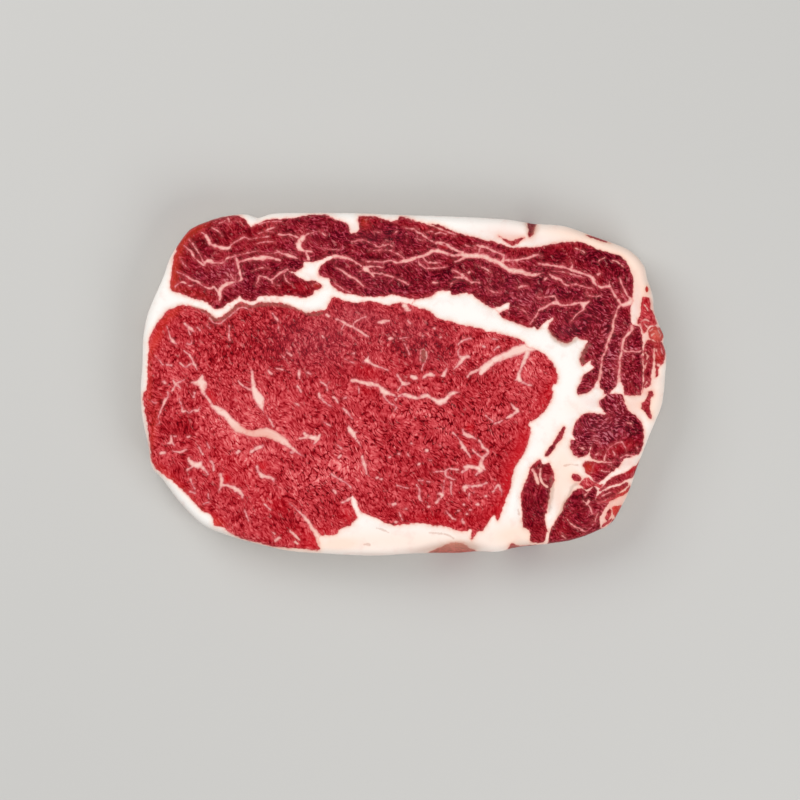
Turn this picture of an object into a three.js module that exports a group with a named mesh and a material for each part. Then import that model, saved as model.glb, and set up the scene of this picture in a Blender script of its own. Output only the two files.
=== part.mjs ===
// A raw boneless ribeye steak, lying flat on its lower cut face: one solid.
// Millimetres, +Z up. The origin is in the middle of the lower face, X runs along the steak and Y across it.
// The rim, the muscles and the fat seams are smooth curves; everything else is worked out from them.
import * as THREE from 'three';

// Driving dimensions
const LENGTH = 182;
const WIDTH = 118.6;
const THICKNESS = 20;

// The rounded side wall
const SHOULDER = 3; // how far the top face's edge lies inside the rim
const SIDE_POWER = 3; // squareness of the wall's section: 2 is an ellipse
const SIDE_BANDS = 6;
const WALL_WAVE = 0.45; // unevenness of the wall
const WALL_WAVES = 23; // waves round the rim

// Relief of the cut face
const LOBE_RISE = 1.2; // a muscle's middle above the level of the cut
const LOBE_SPAN = 5; // the distance from a muscle's edge in which it rises
const FAT_RISE = 0.5;
const FAT_SPAN = 2;
const CREASE = 0.8; // how deep the line is where muscle meets fat
const SEAM_HALF_WIDTH = 1.5;
const SWAY = 0.5; // slow unevenness of the slice
const SWAY_LENGTH = 36;

// The grid of the cut face
const CELLS_ALONG = 80;
const CELLS_ACROSS = 48;
const SNAP = 0.45; // share of a cell within which a grid point moves onto a crease
const EDGE_MARGIN = 1.8; // no grid point moves onto a crease this close to the face's edge
const CURVE_STEP = 0.8;
const LEAST_FACET = 0.1; // least area of a facet of the cut face, seen from above

// The rim, clockwise from the left, seen from above
const RIM = [
  [-90.5, 8], [-90.1, 17], [-88.5, 24.5], [-85.2, 32.5], [-82.9, 38], [-81.2, 43], [-78.2, 48.2], [-73.8, 53.7],
  [-67.5, 56.5], [-61.5, 58.2], [-54.5, 58.7], [-50.3, 57.5], [-45.5, 58.9], [-30, 59.2], [-16, 59.1], [0, 58.5],
  [18, 57.9], [36, 56.9], [43.2, 55.8], [47, 55.4], [56, 54.6], [63.5, 52.1], [72, 49.1], [79, 46], [83.6, 41],
  [84.8, 36.5], [86.7, 30.4], [87.2, 25.5], [89.2, 19.8], [90.6, 16.8], [90.3, 14.6], [91.4, 10.5], [91, 3],
  [89.9, -7], [86.7, -15], [83.3, -23.5], [80.6, -31], [78.6, -36.8], [75.8, -42.5], [72.4, -48.2], [67.6, -50.8],
  [59, -54], [50, -55.4], [41, -56.4], [32, -58.1], [26.5, -57.9], [20, -58.5], [5, -58.6], [-10, -59.4],
  [-28, -58.6], [-40, -57.7], [-52, -55], [-62, -52], [-69.6, -48.6], [-77, -41.5], [-84.2, -32.2], [-87.2, -29],
  [-88.3, -22], [-90.6, -11], [-91.1, -3],
];

// The four places on the rim where the grid of the cut face has its corners
const CORNERS = { lowerLeft: [-76, -43], lowerRight: [74, -46], upperRight: [81, 44], upperLeft: [-76, 51] };

// Where the upper edge of the rim is bitten away: a nick in the fat, and two ledges along the lower side
const BITES = [
  { at: [44.9, 55.6], halfLength: 1.9, depth: 3 },
  { at: [16.5, -58.5], halfLength: 8.5, depth: 2.2 },
  { at: [40.5, -56.5], halfLength: 3.5, depth: 1.2 },
];

// Muscles, each a closed outline on the cut face
const MUSCLES = {
  eye: [
    [-87.8, -20], [-89, -6], [-87.6, 4], [-87.2, 15], [-83, 23], [-77, 27], [-70.5, 26.3], [-64.5, 22.8], [-57, 28],
    [-52, 27.1], [-45, 28.4], [-37, 26.8], [-32.5, 24.6], [-27, 25.8], [-24.4, 29.8], [-13, 28.3], [-5.5, 26.8],
    [0, 27.6], [6, 26.4], [13.5, 22.2], [25, 19.3], [32, 17.9], [41.6, 14.4], [47.5, 11.2], [53.4, 2.5], [51.2, -1],
    [51.4, -6], [44.5, -13.2], [43.3, -20], [38.3, -29.5], [33.3, -46.5], [30.4, -45.5], [26, -51.4], [20, -51],
    [14.5, -49], [5, -48], [-4.5, -48.7], [-14.6, -44.3], [-17.3, -39], [-16.5, -46], [-21, -49.4], [-25, -52.4],
    [-29, -53], [-29.5, -56], [-44, -55.4], [-60.5, -50.8], [-66.5, -44.8], [-75.5, -37], [-85.3, -28.5],
  ],
  cap: [
    [-79.9, 32.9], [-79.8, 40], [-77.6, 47.4], [-73.6, 52.2], [-66, 55.6], [-58.5, 56.8], [-52.5, 54.2], [-47, 56],
    [-36, 57], [-28, 57.4], [-20.5, 55.6], [-18.5, 52.6], [-16.6, 52], [-15.1, 54.4], [-12, 57], [-3, 56], [8, 55],
    [17, 52.4], [28, 49.7], [38, 46.8], [48, 47.4], [58, 48.9], [66, 46.9], [75, 43.8], [79.4, 37.5], [79, 20],
    [76.4, 15], [75, 5], [73, -1.5], [69, -2.5], [66.5, 1], [63.5, -3], [60.4, -2.5], [62.5, 2], [67, 6], [62, 6.5],
    [61.6, 10], [64, 14.5], [60.5, 16], [56.5, 14.2], [51.5, 18], [50.5, 21], [46.5, 19.5], [40, 21.5], [34, 24],
    [31, 26.5], [26.5, 28.5], [21, 31.5], [10, 30.3], [3, 29.4], [-10, 30.3], [-22, 32], [-27.5, 37], [-31, 39],
    [-29, 33.5], [-33.5, 29.8], [-48, 30.4], [-52, 28.8], [-56.5, 29.8], [-64, 25.9], [-72, 30],
  ],
  sideStrip: [
    [76.8, 14.5], [79.6, 19.2], [81.8, 20], [83.3, 15], [86, 13.5], [86.6, 6], [85.6, -1], [82.5, -3.6], [76.3, -3],
    [75.8, 6],
  ],
  rimStrip: [[82.2, 28.5], [85.2, 29], [86.6, 22], [89.3, 15.5], [89.6, 9], [88, 2], [87.6, 9], [85.2, 16], [82.6, 21]],
  tail: [
    [68, -6.5], [70.5, -3.9], [75.5, -3.9], [78.5, -9], [82.6, -14], [82.8, -20], [79.5, -25.2], [73, -28.3],
    [69, -33.2], [64.5, -33], [63, -28], [66, -25], [61, -25.2], [58.2, -21], [58.9, -15], [61.5, -11], [66.5, -10.2],
    [70.2, -10.8],
  ],
  strap: [
    [46.5, -26], [51.2, -27.6], [53, -33], [51.8, -40], [49.4, -46], [49.4, -53], [44.5, -53.4], [43.3, -50],
    [41.3, -48], [40.5, -39], [43, -30.5],
  ],
  flank: [
    [58.5, -38], [62, -36], [67, -36.5], [74, -31], [80, -28.4], [78.6, -33], [73, -38], [70, -44], [66.8, -48.8],
    [58, -52.8], [51, -53.4], [51.6, -48.5], [55.5, -42],
  ],
};

// Fat seams inside the muscles, as open lines along their middles
const SEAMS = {
  capUpper: [[-36, 50], [-36.2, 47], [-33, 45.6]],
  capLeft: [[-77, 37.5], [-70, 34.5], [-66, 33.2], [-63.5, 31], [-62, 34], [-56, 35.5], [-57.5, 43], [-50, 43.2], [-44, 43.4]],
  capFork: [[-31, 39], [-28.5, 42.5], [-22, 44.2], [-14, 40.3], [-5, 37.8], [2, 34]],
  capArm: [[-31, 38.5], [-40, 39.2], [-45.5, 36.2], [-50, 36.5]],
  capLong: [[-12, 43], [0, 42.7], [10, 45.6], [20, 44.6], [28, 44], [35, 41.4], [46, 38.4]],
  capRidge: [[3, 54], [8.5, 50.4], [15, 48.5], [21, 45.2]],
  capCrown: [[47, 41.2], [58, 39.6], [65, 37], [68.5, 33.4], [71.5, 33.6], [75.5, 27.6]],
  capEdge: [[75.5, 27.6], [72.4, 20], [70, 12], [68, 3], [66.5, -0.5]],
  eyeBranch: [[46, 13.2], [39, 11.3], [33, 9.2], [27, 4], [21.5, 2.4]],
  eyeBar: [[-17.5, 1.4], [-10, 0.2], [-5.5, -3.2], [1, -4.2], [6, -4.7], [12.5, -6.1], [19, -3]],
  eyeLeft: [[-72, 0], [-68.5, -1.5], [-62, -9.5], [-56, -15.6], [-46, -17.2], [-39, -21], [-35, -24]],
  eyeDrop: [[-52.4, 4], [-51, -3], [-49, -8]],
  eyeFoot: [[-28.8, -52.5], [-32, -48.5], [-37.5, -42.5]],
};

const drawnSpan = (axis) => Math.max(...RIM.map((p) => p[axis])) - Math.min(...RIM.map((p) => p[axis]));
const FIT_X = LENGTH / drawnSpan(0);
const FIT_Y = WIDTH / drawnSpan(1);
const fitted = ([x, y]) => new THREE.Vector3(x * FIT_X, y * FIT_Y, 0);

// Evenly spaced points on the smooth curve through some points
function curvePoints(points, closed, step = CURVE_STEP) {
  const curve = new THREE.CatmullRomCurve3(points.map(fitted), closed, 'centripetal');
  curve.arcLengthDivisions = points.length * 40;
  const spaced = curve.getSpacedPoints(Math.ceil(curve.getLength() / step));
  return closed ? spaced.slice(0, -1) : spaced;
}

const rim = curvePoints(RIM, true).reverse(); // anticlockwise
const muscles = Object.values(MUSCLES).map((outline) => curvePoints(outline, true));
const seams = Object.values(SEAMS).map((line) => curvePoints(line, false));

// The point of a curve nearest to a place, among the points that it is made of
function nearest(curve, place) {
  let best = 0;
  curve.forEach((point, i) => {
    if (point.distanceToSquared(place) < curve[best].distanceToSquared(place)) best = i;
  });
  return best;
}

// Whether a place is inside a closed outline, by counting the edges that a ray to the right crosses
function inside(outline, { x, y }) {
  let within = false;
  outline.forEach((a, i) => {
    const b = outline[(i + 1) % outline.length];
    if (a.y > y !== b.y > y && x < a.x + ((y - a.y) / (b.y - a.y)) * (b.x - a.x)) within = !within;
  });
  return within;
}

// The height of the cut face's relief at a place, from how far the nearest crease is and which side of it is lean
function relief(place) {
  const away = (curve) => curve[nearest(curve, place)].distanceTo(place);
  const edge = Math.min(...muscles.map(away));
  const seam = Math.min(...seams.map(away));
  const lean = muscles.some((outline) => inside(outline, place));
  const [rise, span] = lean ? [LOBE_RISE, LOBE_SPAN] : [FAT_RISE, FAT_SPAN];
  const lobe = rise - (rise + CREASE) * Math.exp(-edge / span);
  return lobe - (lean ? CREASE * Math.exp(-((seam / SEAM_HALF_WIDTH) ** 2)) : 0);
}

function topHeight(place) {
  const sway = Math.sin(place.x / SWAY_LENGTH + 1) * Math.cos(place.y / SWAY_LENGTH - 0.4);
  return THICKNESS - LOBE_RISE - SWAY + SWAY * sway + relief(place);
}

// One side of the rim, from one corner to the next, cut into equal steps
function rimSide(from, to, steps) {
  const start = nearest(rim, fitted(CORNERS[from]));
  const count = (nearest(rim, fitted(CORNERS[to])) - start + rim.length) % rim.length;
  return Array.from({ length: steps }, (_, i) => (start + Math.round((i * count) / steps)) % rim.length);
}

// The rim's stations, anticlockwise from the lower left corner of the grid, each with the way inwards
const stationIndex = [
  ...rimSide('lowerLeft', 'lowerRight', CELLS_ALONG),
  ...rimSide('lowerRight', 'upperRight', CELLS_ACROSS),
  ...rimSide('upperRight', 'upperLeft', CELLS_ALONG),
  ...rimSide('upperLeft', 'lowerLeft', CELLS_ACROSS),
];
const TANGENT_REACH = 8; // rim points to either side that set the way inwards
const stations = stationIndex.map((i) => {
  const ahead = rim[(i + TANGENT_REACH) % rim.length];
  const behind = rim[(i - TANGENT_REACH + rim.length) % rim.length];
  const along = ahead.clone().sub(behind).normalize();
  const wave = Math.sin((2 * Math.PI * WALL_WAVES * i) / rim.length);
  return { at: rim[i], inward: new THREE.Vector3(-along.y, along.x, 0), wave };
});

// How far the upper rim is bitten in at a station
function biteAt({ at }) {
  return Math.max(
    ...BITES.map((bite) => bite.depth * Math.exp(-((at.distanceTo(fitted(bite.at)) / bite.halfLength) ** 4))),
  );
}

// A point of the side wall: turn 0 is the edge of the top face and turn pi the edge of the lower face
function wallPoint(station, turn, top) {
  const out = Math.sin(turn) ** (2 / SIDE_POWER);
  const up = Math.sign(Math.cos(turn)) * Math.abs(Math.cos(turn)) ** (2 / SIDE_POWER);
  const upperShare = Math.max(0, up) ** 0.5;
  const unevenness = WALL_WAVE * (1 + Math.sin(2 * turn) * station.wave) * out * (1 - out);
  const inset = SHOULDER * (1 - out) + biteAt(station) * upperShare + unevenness;
  const point = station.at.clone().addScaledVector(station.inward, inset);
  return point.setZ((top / 2) * (1 + up));
}

// The cut face's grid: a Coons patch between the four sides of its edge
const edge = stations.map((station) => wallPoint(station, 0, 0));
const across = (j) => [edge[(edge.length - j) % edge.length], edge[CELLS_ALONG + j]];
const along = (i) => [edge[i], edge[2 * CELLS_ALONG + CELLS_ACROSS - i]];

function gridPoint(i, j) {
  const u = i / CELLS_ALONG;
  const v = j / CELLS_ACROSS;
  const [left, right] = across(j);
  const [low, high] = along(i);
  const [[lowLeft, highLeft], [lowRight, highRight]] = [along(0), along(CELLS_ALONG)];
  const blend = (from, to, share) => from.clone().lerp(to, share);
  const corners = blend(blend(lowLeft, highLeft, v), blend(lowRight, highRight, v), u);
  return blend(left, right, u).add(blend(low, high, v)).sub(corners);
}

// Moves a grid point that is close to a crease onto it, so that the facets meet along the crease
const clearOfEdge = (point) => inside(edge, point) && edge[nearest(edge, point)].distanceTo(point) > EDGE_MARGIN;
const creases = [...muscles, ...seams].map((curve) => curve.filter(clearOfEdge)).filter((curve) => curve.length > 0);
const CELL = Math.min(LENGTH / CELLS_ALONG, WIDTH / CELLS_ACROSS);
function snapped(point) {
  const found = creases.map((curve) => curve[nearest(curve, point)]);
  const closest = found.reduce((a, b) => (a.distanceTo(point) < b.distanceTo(point) ? a : b));
  return closest.distanceTo(point) < SNAP * CELL ? { point: closest.clone(), onCrease: true } : { point, onCrease: false };
}

const positions = [];
const triangles = [];
const addPoint = (point) => positions.push(point.x, point.y, point.z) / 3 - 1;

// Top face: the grid's points as they lie seen from above
const topIndex = (i, j) => j * (CELLS_ALONG + 1) + i;
const grid = [];
for (let j = 0; j <= CELLS_ACROSS; j++) {
  for (let i = 0; i <= CELLS_ALONG; i++) {
    const own = gridPoint(i, j);
    const atEdge = i % CELLS_ALONG === 0 || j % CELLS_ACROSS === 0;
    grid.push({ own, ...(atEdge ? { point: own, onCrease: false } : snapped(own)) });
  }
}

function facesUp([a, b, c]) {
  const [p, q, r] = [grid[a].point, grid[b].point, grid[c].point];
  return (q.x - p.x) * (r.y - p.y) - (r.x - p.x) * (q.y - p.y) > 2 * LEAST_FACET;
}

// A cell's two facets: it is split along a crease, or out of a corner of the grid, and otherwise in turn both ways
function cellFacets(i, j) {
  const [a, b, c, d] = [topIndex(i, j), topIndex(i + 1, j), topIndex(i + 1, j + 1), topIndex(i, j + 1)];
  const rising = [[a, b, c], [a, c, d]];
  const falling = [[a, b, d], [b, c, d]];
  const outOfCorner = i < CELLS_ALONG / 2 === j < CELLS_ACROSS / 2;
  const alongRising = grid[a].onCrease && grid[c].onCrease;
  const alongFalling = grid[b].onCrease && grid[d].onCrease;
  const preferRising = alongRising === alongFalling ? outOfCorner : alongRising;
  const ways = preferRising ? [rising, falling] : [falling, rising];
  const facets = ways.find((way) => way.every(facesUp));
  return { facets: facets ?? ways[0], folded: !facets, corners: [a, b, c, d] };
}

const cells = [];
for (let j = 0; j < CELLS_ACROSS; j++) {
  for (let i = 0; i < CELLS_ALONG; i++) cells.push([i, j]);
}

// Where a cell would fold over, its corners go back to their own places on the grid
let moved = true;
while (moved) {
  const back = cells
    .map(([i, j]) => cellFacets(i, j))
    .filter(({ folded }) => folded)
    .flatMap(({ corners }) => corners)
    .filter((index) => grid[index].onCrease);
  for (const index of back) grid[index] = { ...grid[index], point: grid[index].own, onCrease: false };
  moved = back.length > 0;
}
for (const { point } of grid) addPoint(point.clone().setZ(topHeight(point)));
for (const [i, j] of cells) triangles.push(...cellFacets(i, j).facets.flat());

// Side wall, in bands from the top face's edge down
const edgeIndex = [];
for (let i = 0; i < CELLS_ALONG; i++) edgeIndex.push(topIndex(i, 0));
for (let j = 0; j < CELLS_ACROSS; j++) edgeIndex.push(topIndex(CELLS_ALONG, j));
for (let i = CELLS_ALONG; i > 0; i--) edgeIndex.push(topIndex(i, CELLS_ACROSS));
for (let j = CELLS_ACROSS; j > 0; j--) edgeIndex.push(topIndex(0, j));

let upper = edgeIndex;
for (let band = 1; band <= SIDE_BANDS; band++) {
  const turn = (Math.PI * band) / SIDE_BANDS;
  const lower = stations.map((station, s) => addPoint(wallPoint(station, turn, positions[3 * edgeIndex[s] + 2])));
  lower.forEach((here, s) => {
    const next = (s + 1) % stations.length;
    triangles.push(upper[s], here, upper[next], upper[next], here, lower[next]);
  });
  upper = lower;
}

// Lower face, flat
const base = upper.map((index) => new THREE.Vector2(positions[3 * index], positions[3 * index + 1]));
for (const [a, b, c] of THREE.ShapeUtils.triangulateShape(base, [])) triangles.push(upper[a], upper[c], upper[b]);

const geometry = new THREE.BufferGeometry();
geometry.setAttribute('position', new THREE.Float32BufferAttribute(positions, 3));
geometry.setIndex(triangles);
geometry.computeVertexNormals();

const rawBeef = new THREE.MeshStandardMaterial({ color: 0xa8323a, roughness: 0.45, metalness: 0 });
const steak = new THREE.Mesh(geometry, rawBeef);
steak.name = 'ribeye_steak';

const part = new THREE.Group();
part.add(steak);
export default part;
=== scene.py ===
import math
import bpy
import numpy as np
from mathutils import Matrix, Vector, noise
from mathutils.geometry import delaunay_2d_cdt


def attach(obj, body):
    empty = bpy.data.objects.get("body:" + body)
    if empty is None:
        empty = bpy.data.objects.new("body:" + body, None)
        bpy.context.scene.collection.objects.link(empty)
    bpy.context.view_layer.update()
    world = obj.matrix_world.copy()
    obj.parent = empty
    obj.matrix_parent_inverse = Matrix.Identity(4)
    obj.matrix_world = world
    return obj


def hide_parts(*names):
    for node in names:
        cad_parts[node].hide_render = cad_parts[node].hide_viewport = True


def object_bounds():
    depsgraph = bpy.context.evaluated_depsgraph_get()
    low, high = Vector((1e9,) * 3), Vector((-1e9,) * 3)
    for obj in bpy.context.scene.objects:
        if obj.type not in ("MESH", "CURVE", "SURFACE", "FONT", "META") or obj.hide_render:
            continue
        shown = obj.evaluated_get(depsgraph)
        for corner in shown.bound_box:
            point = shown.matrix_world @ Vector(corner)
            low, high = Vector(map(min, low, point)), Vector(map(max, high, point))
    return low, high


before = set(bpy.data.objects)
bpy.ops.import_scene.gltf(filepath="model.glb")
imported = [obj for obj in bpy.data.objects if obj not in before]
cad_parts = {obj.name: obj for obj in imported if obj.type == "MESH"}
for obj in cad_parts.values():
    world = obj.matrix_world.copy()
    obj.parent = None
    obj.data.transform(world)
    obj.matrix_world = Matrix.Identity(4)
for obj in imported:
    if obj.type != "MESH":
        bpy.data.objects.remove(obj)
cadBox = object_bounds()
print("frame:", sorted(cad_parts))

mm = 0.001
cadHeight = (cadBox[1][2] - cadBox[0][2]) / mm
tiny = 1e-12  # keeps divisions from zero


def linear(hexColour):  # sRGB hex to linear RGBA
    parts = [int(hexColour[i:i + 2], 16) / 255 for i in (0, 2, 4)]
    return [c / 12.92 if c <= 0.04045 else ((c + 0.055) / 1.055) ** 2.4 for c in parts] + [1.0]


# muscles on the cut face, outlines in mm seen from above; tone 0 is bright red, 1 dark purple
# mottle is how much pale grain shows in it
muscles = {
    "eye": dict(tone=0, mottle=0.25, outline=[
        (-88.2, 5), (-88, 10), (-87.8, 14), (-87.2, 17), (-86, 19), (-84.5, 21.5), (-83, 23), (-81.5, 25),
        (-79.5, 25.9), (-77, 27.1), (-74, 26.8), (-71, 26), (-69, 25.5), (-67, 24.5), (-65.5, 23.3),
        (-64.5, 22.7), (-63, 23), (-61, 24.5), (-59, 26), (-57, 27.7), (-56, 28.2), (-54.5, 27.7),
        (-51.5, 27.3), (-50, 28), (-46, 28.1), (-42, 27.9), (-39, 27), (-36.5, 26), (-34.5, 25),
        (-33, 24.5), (-31, 24.8), (-28.5, 25.2), (-27, 25.5), (-26, 26.8), (-25.3, 28.4), (-24, 29.8),
        (-21, 29), (-16, 28), (-12, 28.6), (-9, 28), (-5, 27), (-2, 27.8), (0, 27.8), (2.5, 27.3),
        (5, 26.5), (9, 25), (11, 23.5), (13, 22.3), (17, 21.5), (19, 20.5), (22, 20), (26, 19.2),
        (28, 18.7), (28.7, 18), (31, 17.8), (35, 17), (38, 16), (40, 15.5), (41.7, 14.5), (43, 12.6),
        (45, 12.1), (47, 11.2), (49, 9.8), (51, 7.8), (52.5, 5.5), (53.3, 3), (53.5, 1.3), (53, 0.2),
        (52, -0.3), (51.3, -1), (51.7, -3.5), (51, -6), (50, -8), (48.5, -9.8), (47, -11.3),
        (45.5, -12.5), (44, -13.3), (43.3, -14.3), (44, -15.3), (44, -17), (43.5, -19), (42.8, -21.5),
        (41.7, -24), (40.5, -26), (39.3, -27.5), (38.5, -29.5), (37.3, -35), (36.5, -37.5), (35.5, -40),
        (34, -44.5), (33.3, -46), (32.8, -47.3), (32.2, -46.2), (31.3, -45.5), (30.3, -46.5),
        (29.5, -47.8), (28.5, -49.5), (27.5, -50.7), (25.8, -51.3), (25, -52.7), (23.7, -54), (23.3, -53),
        (24, -51), (23.1, -50.1), (22.5, -51), (19, -50.9), (17, -50), (14, -49.3), (10, -48.8),
        (7, -48.2), (3, -48.3), (-3, -48.8), (-6, -48), (-8, -47), (-12, -45.2), (-14, -44.6),
        (-15, -43.5), (-15.3, -41.5), (-16.5, -39.5), (-17.3, -38.3), (-18, -40), (-17.3, -42),
        (-16.8, -43.5), (-16, -46.5), (-17, -47.5), (-18, -48.8), (-21, -49.7), (-22, -50.8), (-23, -52),
        (-25, -52.5), (-29, -52.5), (-29.2, -54.5), (-28.7, -57.4), (-31, -57.5), (-35, -57),
        (-40, -56.8), (-45, -56.3), (-50, -54.8), (-55, -53.7), (-59, -51.8), (-62.5, -49.5), (-65, -49),
        (-65.7, -46), (-67, -44.7), (-69, -44), (-72, -41), (-76, -36.7), (-80, -33.3), (-84, -30.3),
        (-85.5, -29), (-86.5, -27), (-87.5, -20), (-88.8, -11), (-89.7, -5), (-89.5, -3.5), (-88.5, -1.5)]),
    "cap": dict(tone=0.85, mottle=0.5, outline=[
        (-80, 32.8), (-80, 37), (-79.8, 40), (-79.3, 43), (-78.5, 46), (-77.5, 48.7), (-75.6, 51.3),
        (-73, 53.8), (-70, 55.3), (-66, 56.6), (-62, 57.8), (-58, 58.2), (-55, 57.2), (-53.5, 55),
        (-52.5, 54), (-51, 55), (-48.5, 56), (-45, 56.7), (-38, 57.3), (-32, 58.2), (-29, 58.5),
        (-26, 58.2), (-24.5, 57.5), (-22.5, 56.5), (-20, 55.7), (-19, 54.5), (-18.5, 53), (-17.5, 51.9),
        (-16, 52.5), (-15.2, 53.5), (-15, 55), (-15.5, 56.5), (-15.2, 57.7), (-11, 57.8), (-8.5, 57.5),
        (-5, 56.3), (-3, 56.1), (-1.5, 56.6), (-1, 57.6), (1, 57.4), (3, 57), (5, 56.1), (9, 55.2),
        (11, 55.3), (13, 54.7), (15, 53.6), (19, 52), (25, 50.5), (30, 49.3), (36, 47.7), (38, 47),
        (40, 47), (47, 47.3), (52, 48.4), (58, 49.1), (61, 49), (63, 48.5), (67, 46.7), (71, 45.5),
        (75, 44.3), (76.5, 43), (78.5, 39.8), (79.3, 38), (79.6, 36), (79.4, 30), (78.9, 26), (78.8, 22),
        (79.4, 20.3), (80.5, 20.3), (81.8, 19.5), (82.5, 17.5), (82.9, 14), (83, 8), (83, 2), (83.3, -2),
        (82.5, -3.6), (79, -4), (76.6, -3.8), (76.2, -1), (75.6, 0.6), (74.6, 1), (73.5, -1), (72.5, -2),
        (71, -3.3), (69.8, -3.4), (69.3, -2), (68.5, -1.4), (67.5, 1.5), (66.5, -0.5), (65.5, -2),
        (64, -2.8), (62, -3.5), (60.5, -3.7), (60.2, -2.5), (61, -0.5), (62, 2), (63, 3.3), (65, 4.5),
        (66.3, 6), (65.2, 6.5), (65.3, 8), (63.5, 7.2), (61.8, 6.3), (61.4, 8.5), (61.8, 10.5),
        (63, 12.5), (64, 14.5), (63.5, 15), (61.5, 15.5), (60, 16.3), (59, 15.5), (57.5, 14.3), (56, 14),
        (54.5, 14.5), (51.5, 17), (50.3, 18.7), (50.3, 19.5), (51.3, 21.5), (52, 23.2), (50, 22),
        (46.6, 19), (45.5, 20), (43.5, 19.5), (40, 20.8), (36.5, 22), (34.5, 23), (33.3, 24.2), (34, 25),
        (36.7, 26), (37, 27.8), (36, 27.8), (33, 26.5), (31, 26.2), (28.5, 27.6), (25.5, 29.5),
        (24, 30.8), (22, 31.3), (17, 31), (16.3, 32), (11.5, 31.7), (10.5, 30.6), (9, 30), (3.5, 29.4),
        (0, 30), (-3.5, 31), (-7, 30.3), (-13, 30.3), (-18, 31.1), (-22.5, 32.3), (-25, 35),
        (-25.5, 36.3), (-28.8, 37.5), (-29.2, 38.8), (-28.5, 40.5), (-26.5, 42.3), (-24, 43.6),
        (-25, 44.3), (-29.5, 42.6), (-32, 42), (-34.3, 42), (-34.5, 40.2), (-36.5, 39), (-38, 38.7),
        (-40, 39), (-38, 38), (-36, 36.8), (-33, 35.5), (-31.5, 35.8), (-29.5, 35.2), (-28, 34.2),
        (-29, 32.8), (-30.5, 32), (-31, 31), (-32.5, 30.3), (-34, 29.9), (-40, 30.4), (-48, 30.5),
        (-49.5, 30.3), (-51.3, 28.8), (-55.5, 29.3), (-56.5, 30.3), (-57.5, 29.5), (-61.5, 27),
        (-63, 25.9), (-64.5, 25.9), (-66, 26.8), (-67.5, 28), (-70, 28.9), (-77, 31.3)]),
    "rimUpper": dict(tone=0.1, mottle=0.6, outline=[
        (83, 30.3), (84.2, 29.8), (85.5, 29.3), (85.5, 27.5), (85.5, 25.8), (86.4, 24.8), (87.2, 22.8),
        (87.9, 20.8), (86.8, 20.3), (85.6, 20.3), (84.8, 19.2), (83.6, 17.6), (82.9, 17.6), (82.6, 19.4),
        (81.6, 20.4), (81, 21), (81.3, 22.3), (82, 23.6), (82.2, 25), (82.2, 27), (82.6, 28.8)]),
    "nodule": dict(tone=0, mottle=1, outline=[
        (84.9, 18), (85.6, 19.4), (87, 20), (88.3, 19.4), (89.8, 19), (91, 17.6), (90.6, 16.3),
        (89.6, 15.4), (88.8, 14.5), (87.6, 14.7), (86.5, 15.4), (85.3, 16.2)]),
    "crumb": dict(tone=0, mottle=0, outline=[
        (83.7, 33), (84.4, 33.5), (85, 33), (84.8, 31.9), (84, 31.6), (83.6, 32.2)]),
    "rimLower": dict(tone=0.5, mottle=0.6, outline=[
        (84.4, 14.8), (85.5, 15.2), (86.9, 14.6), (87.2, 12.6), (87, 10.5), (86.6, 8.6), (86.3, 6),
        (86, 3), (85.8, 0.5), (85, -1), (84, -1.5), (83.3, -0.6), (83.3, 3), (83.2, 7), (83.2, 9.5),
        (83.4, 11.5), (83.7, 13)]),
    "rimOuter": dict(tone=0.2, mottle=0.8, outline=[
        (86.7, 14), (88, 14.8), (89.4, 14.3), (90.5, 12.4), (90.9, 10), (90.6, 8), (89.6, 6.6), (88.8, 6),
        (88.4, 4.5), (88.2, 2.8), (87.7, 2.4), (87.4, 4), (87.3, 6.5), (87, 8.5), (86.8, 10.5)]),
    "sliver": dict(tone=0.45, mottle=0.3, outline=[
        (85.2, -2.5), (86.3, -2.6), (86.4, -4), (85.6, -5.2), (85.4, -6.5), (85.5, -9), (85.9, -12.1),
        (85.2, -12.2), (84.3, -11), (83.4, -9.8), (82.4, -8.5), (82.3, -7.5), (83.1, -6.2), (84.2, -5.3),
        (84.6, -4.2)]),
    "tail": dict(tone=0.9, mottle=0.6, outline=[
        (69, -5), (70.5, -3.8), (75.5, -3.8), (76.3, -5), (77, -7), (78.3, -9.3), (80, -10.5),
        (81.8, -12.5), (83, -15), (83.5, -18), (83.3, -19.5), (82.7, -22), (82, -23.6), (79.5, -25),
        (77, -26), (75, -27), (72, -26.9), (69, -26.8), (66, -26.2), (64.9, -24.6), (65, -21),
        (64.5, -22.5), (64, -24.3), (63, -25), (61, -25.3), (59.3, -24.8), (58.3, -23), (57.8, -21),
        (58.2, -19.3), (59.3, -19.2), (58.8, -17.5), (59.2, -15), (60, -13), (61, -12), (62, -10.8),
        (63.5, -10), (66, -10.3), (68.5, -10.5), (70, -10.3), (69, -8.8), (67.8, -7), (68.3, -5.5)]),
    "splinter": dict(tone=0.75, mottle=0.3, outline=[
        (55.2, -15), (56, -15), (55.5, -17.5), (54.5, -19.5), (53, -20.8), (52.5, -22), (51.5, -23.8),
        (50.5, -25), (49.3, -24.8), (50, -23), (51.5, -21), (53, -18.5), (54.3, -16.3)]),
    "strap": dict(tone=0.7, mottle=0.3, outline=[
        (47.3, -26), (48, -27.5), (49.5, -27.7), (50.7, -27.2), (51.3, -28.5), (52, -30), (52.5, -33),
        (52, -34.5), (51, -36), (50.9, -38), (50.5, -41), (49.5, -44), (49, -46), (49.3, -48.5),
        (49.7, -50), (49.5, -53), (49, -54.8), (44.5, -54.8), (44, -53.5), (43.8, -51.5), (43, -50.3),
        (41.7, -49.5), (41.2, -47), (41.3, -44), (40.9, -41), (40.7, -38.5), (41.5, -36), (42.5, -33.5),
        (43.3, -31), (44.3, -28.7), (46, -27)]),
    "knot": dict(tone=0.8, mottle=0.5, outline=[
        (62.1, -28.2), (63.2, -26.8), (65.5, -26.8), (67.3, -27.4), (69.4, -26.8), (71.5, -26.3),
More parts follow.
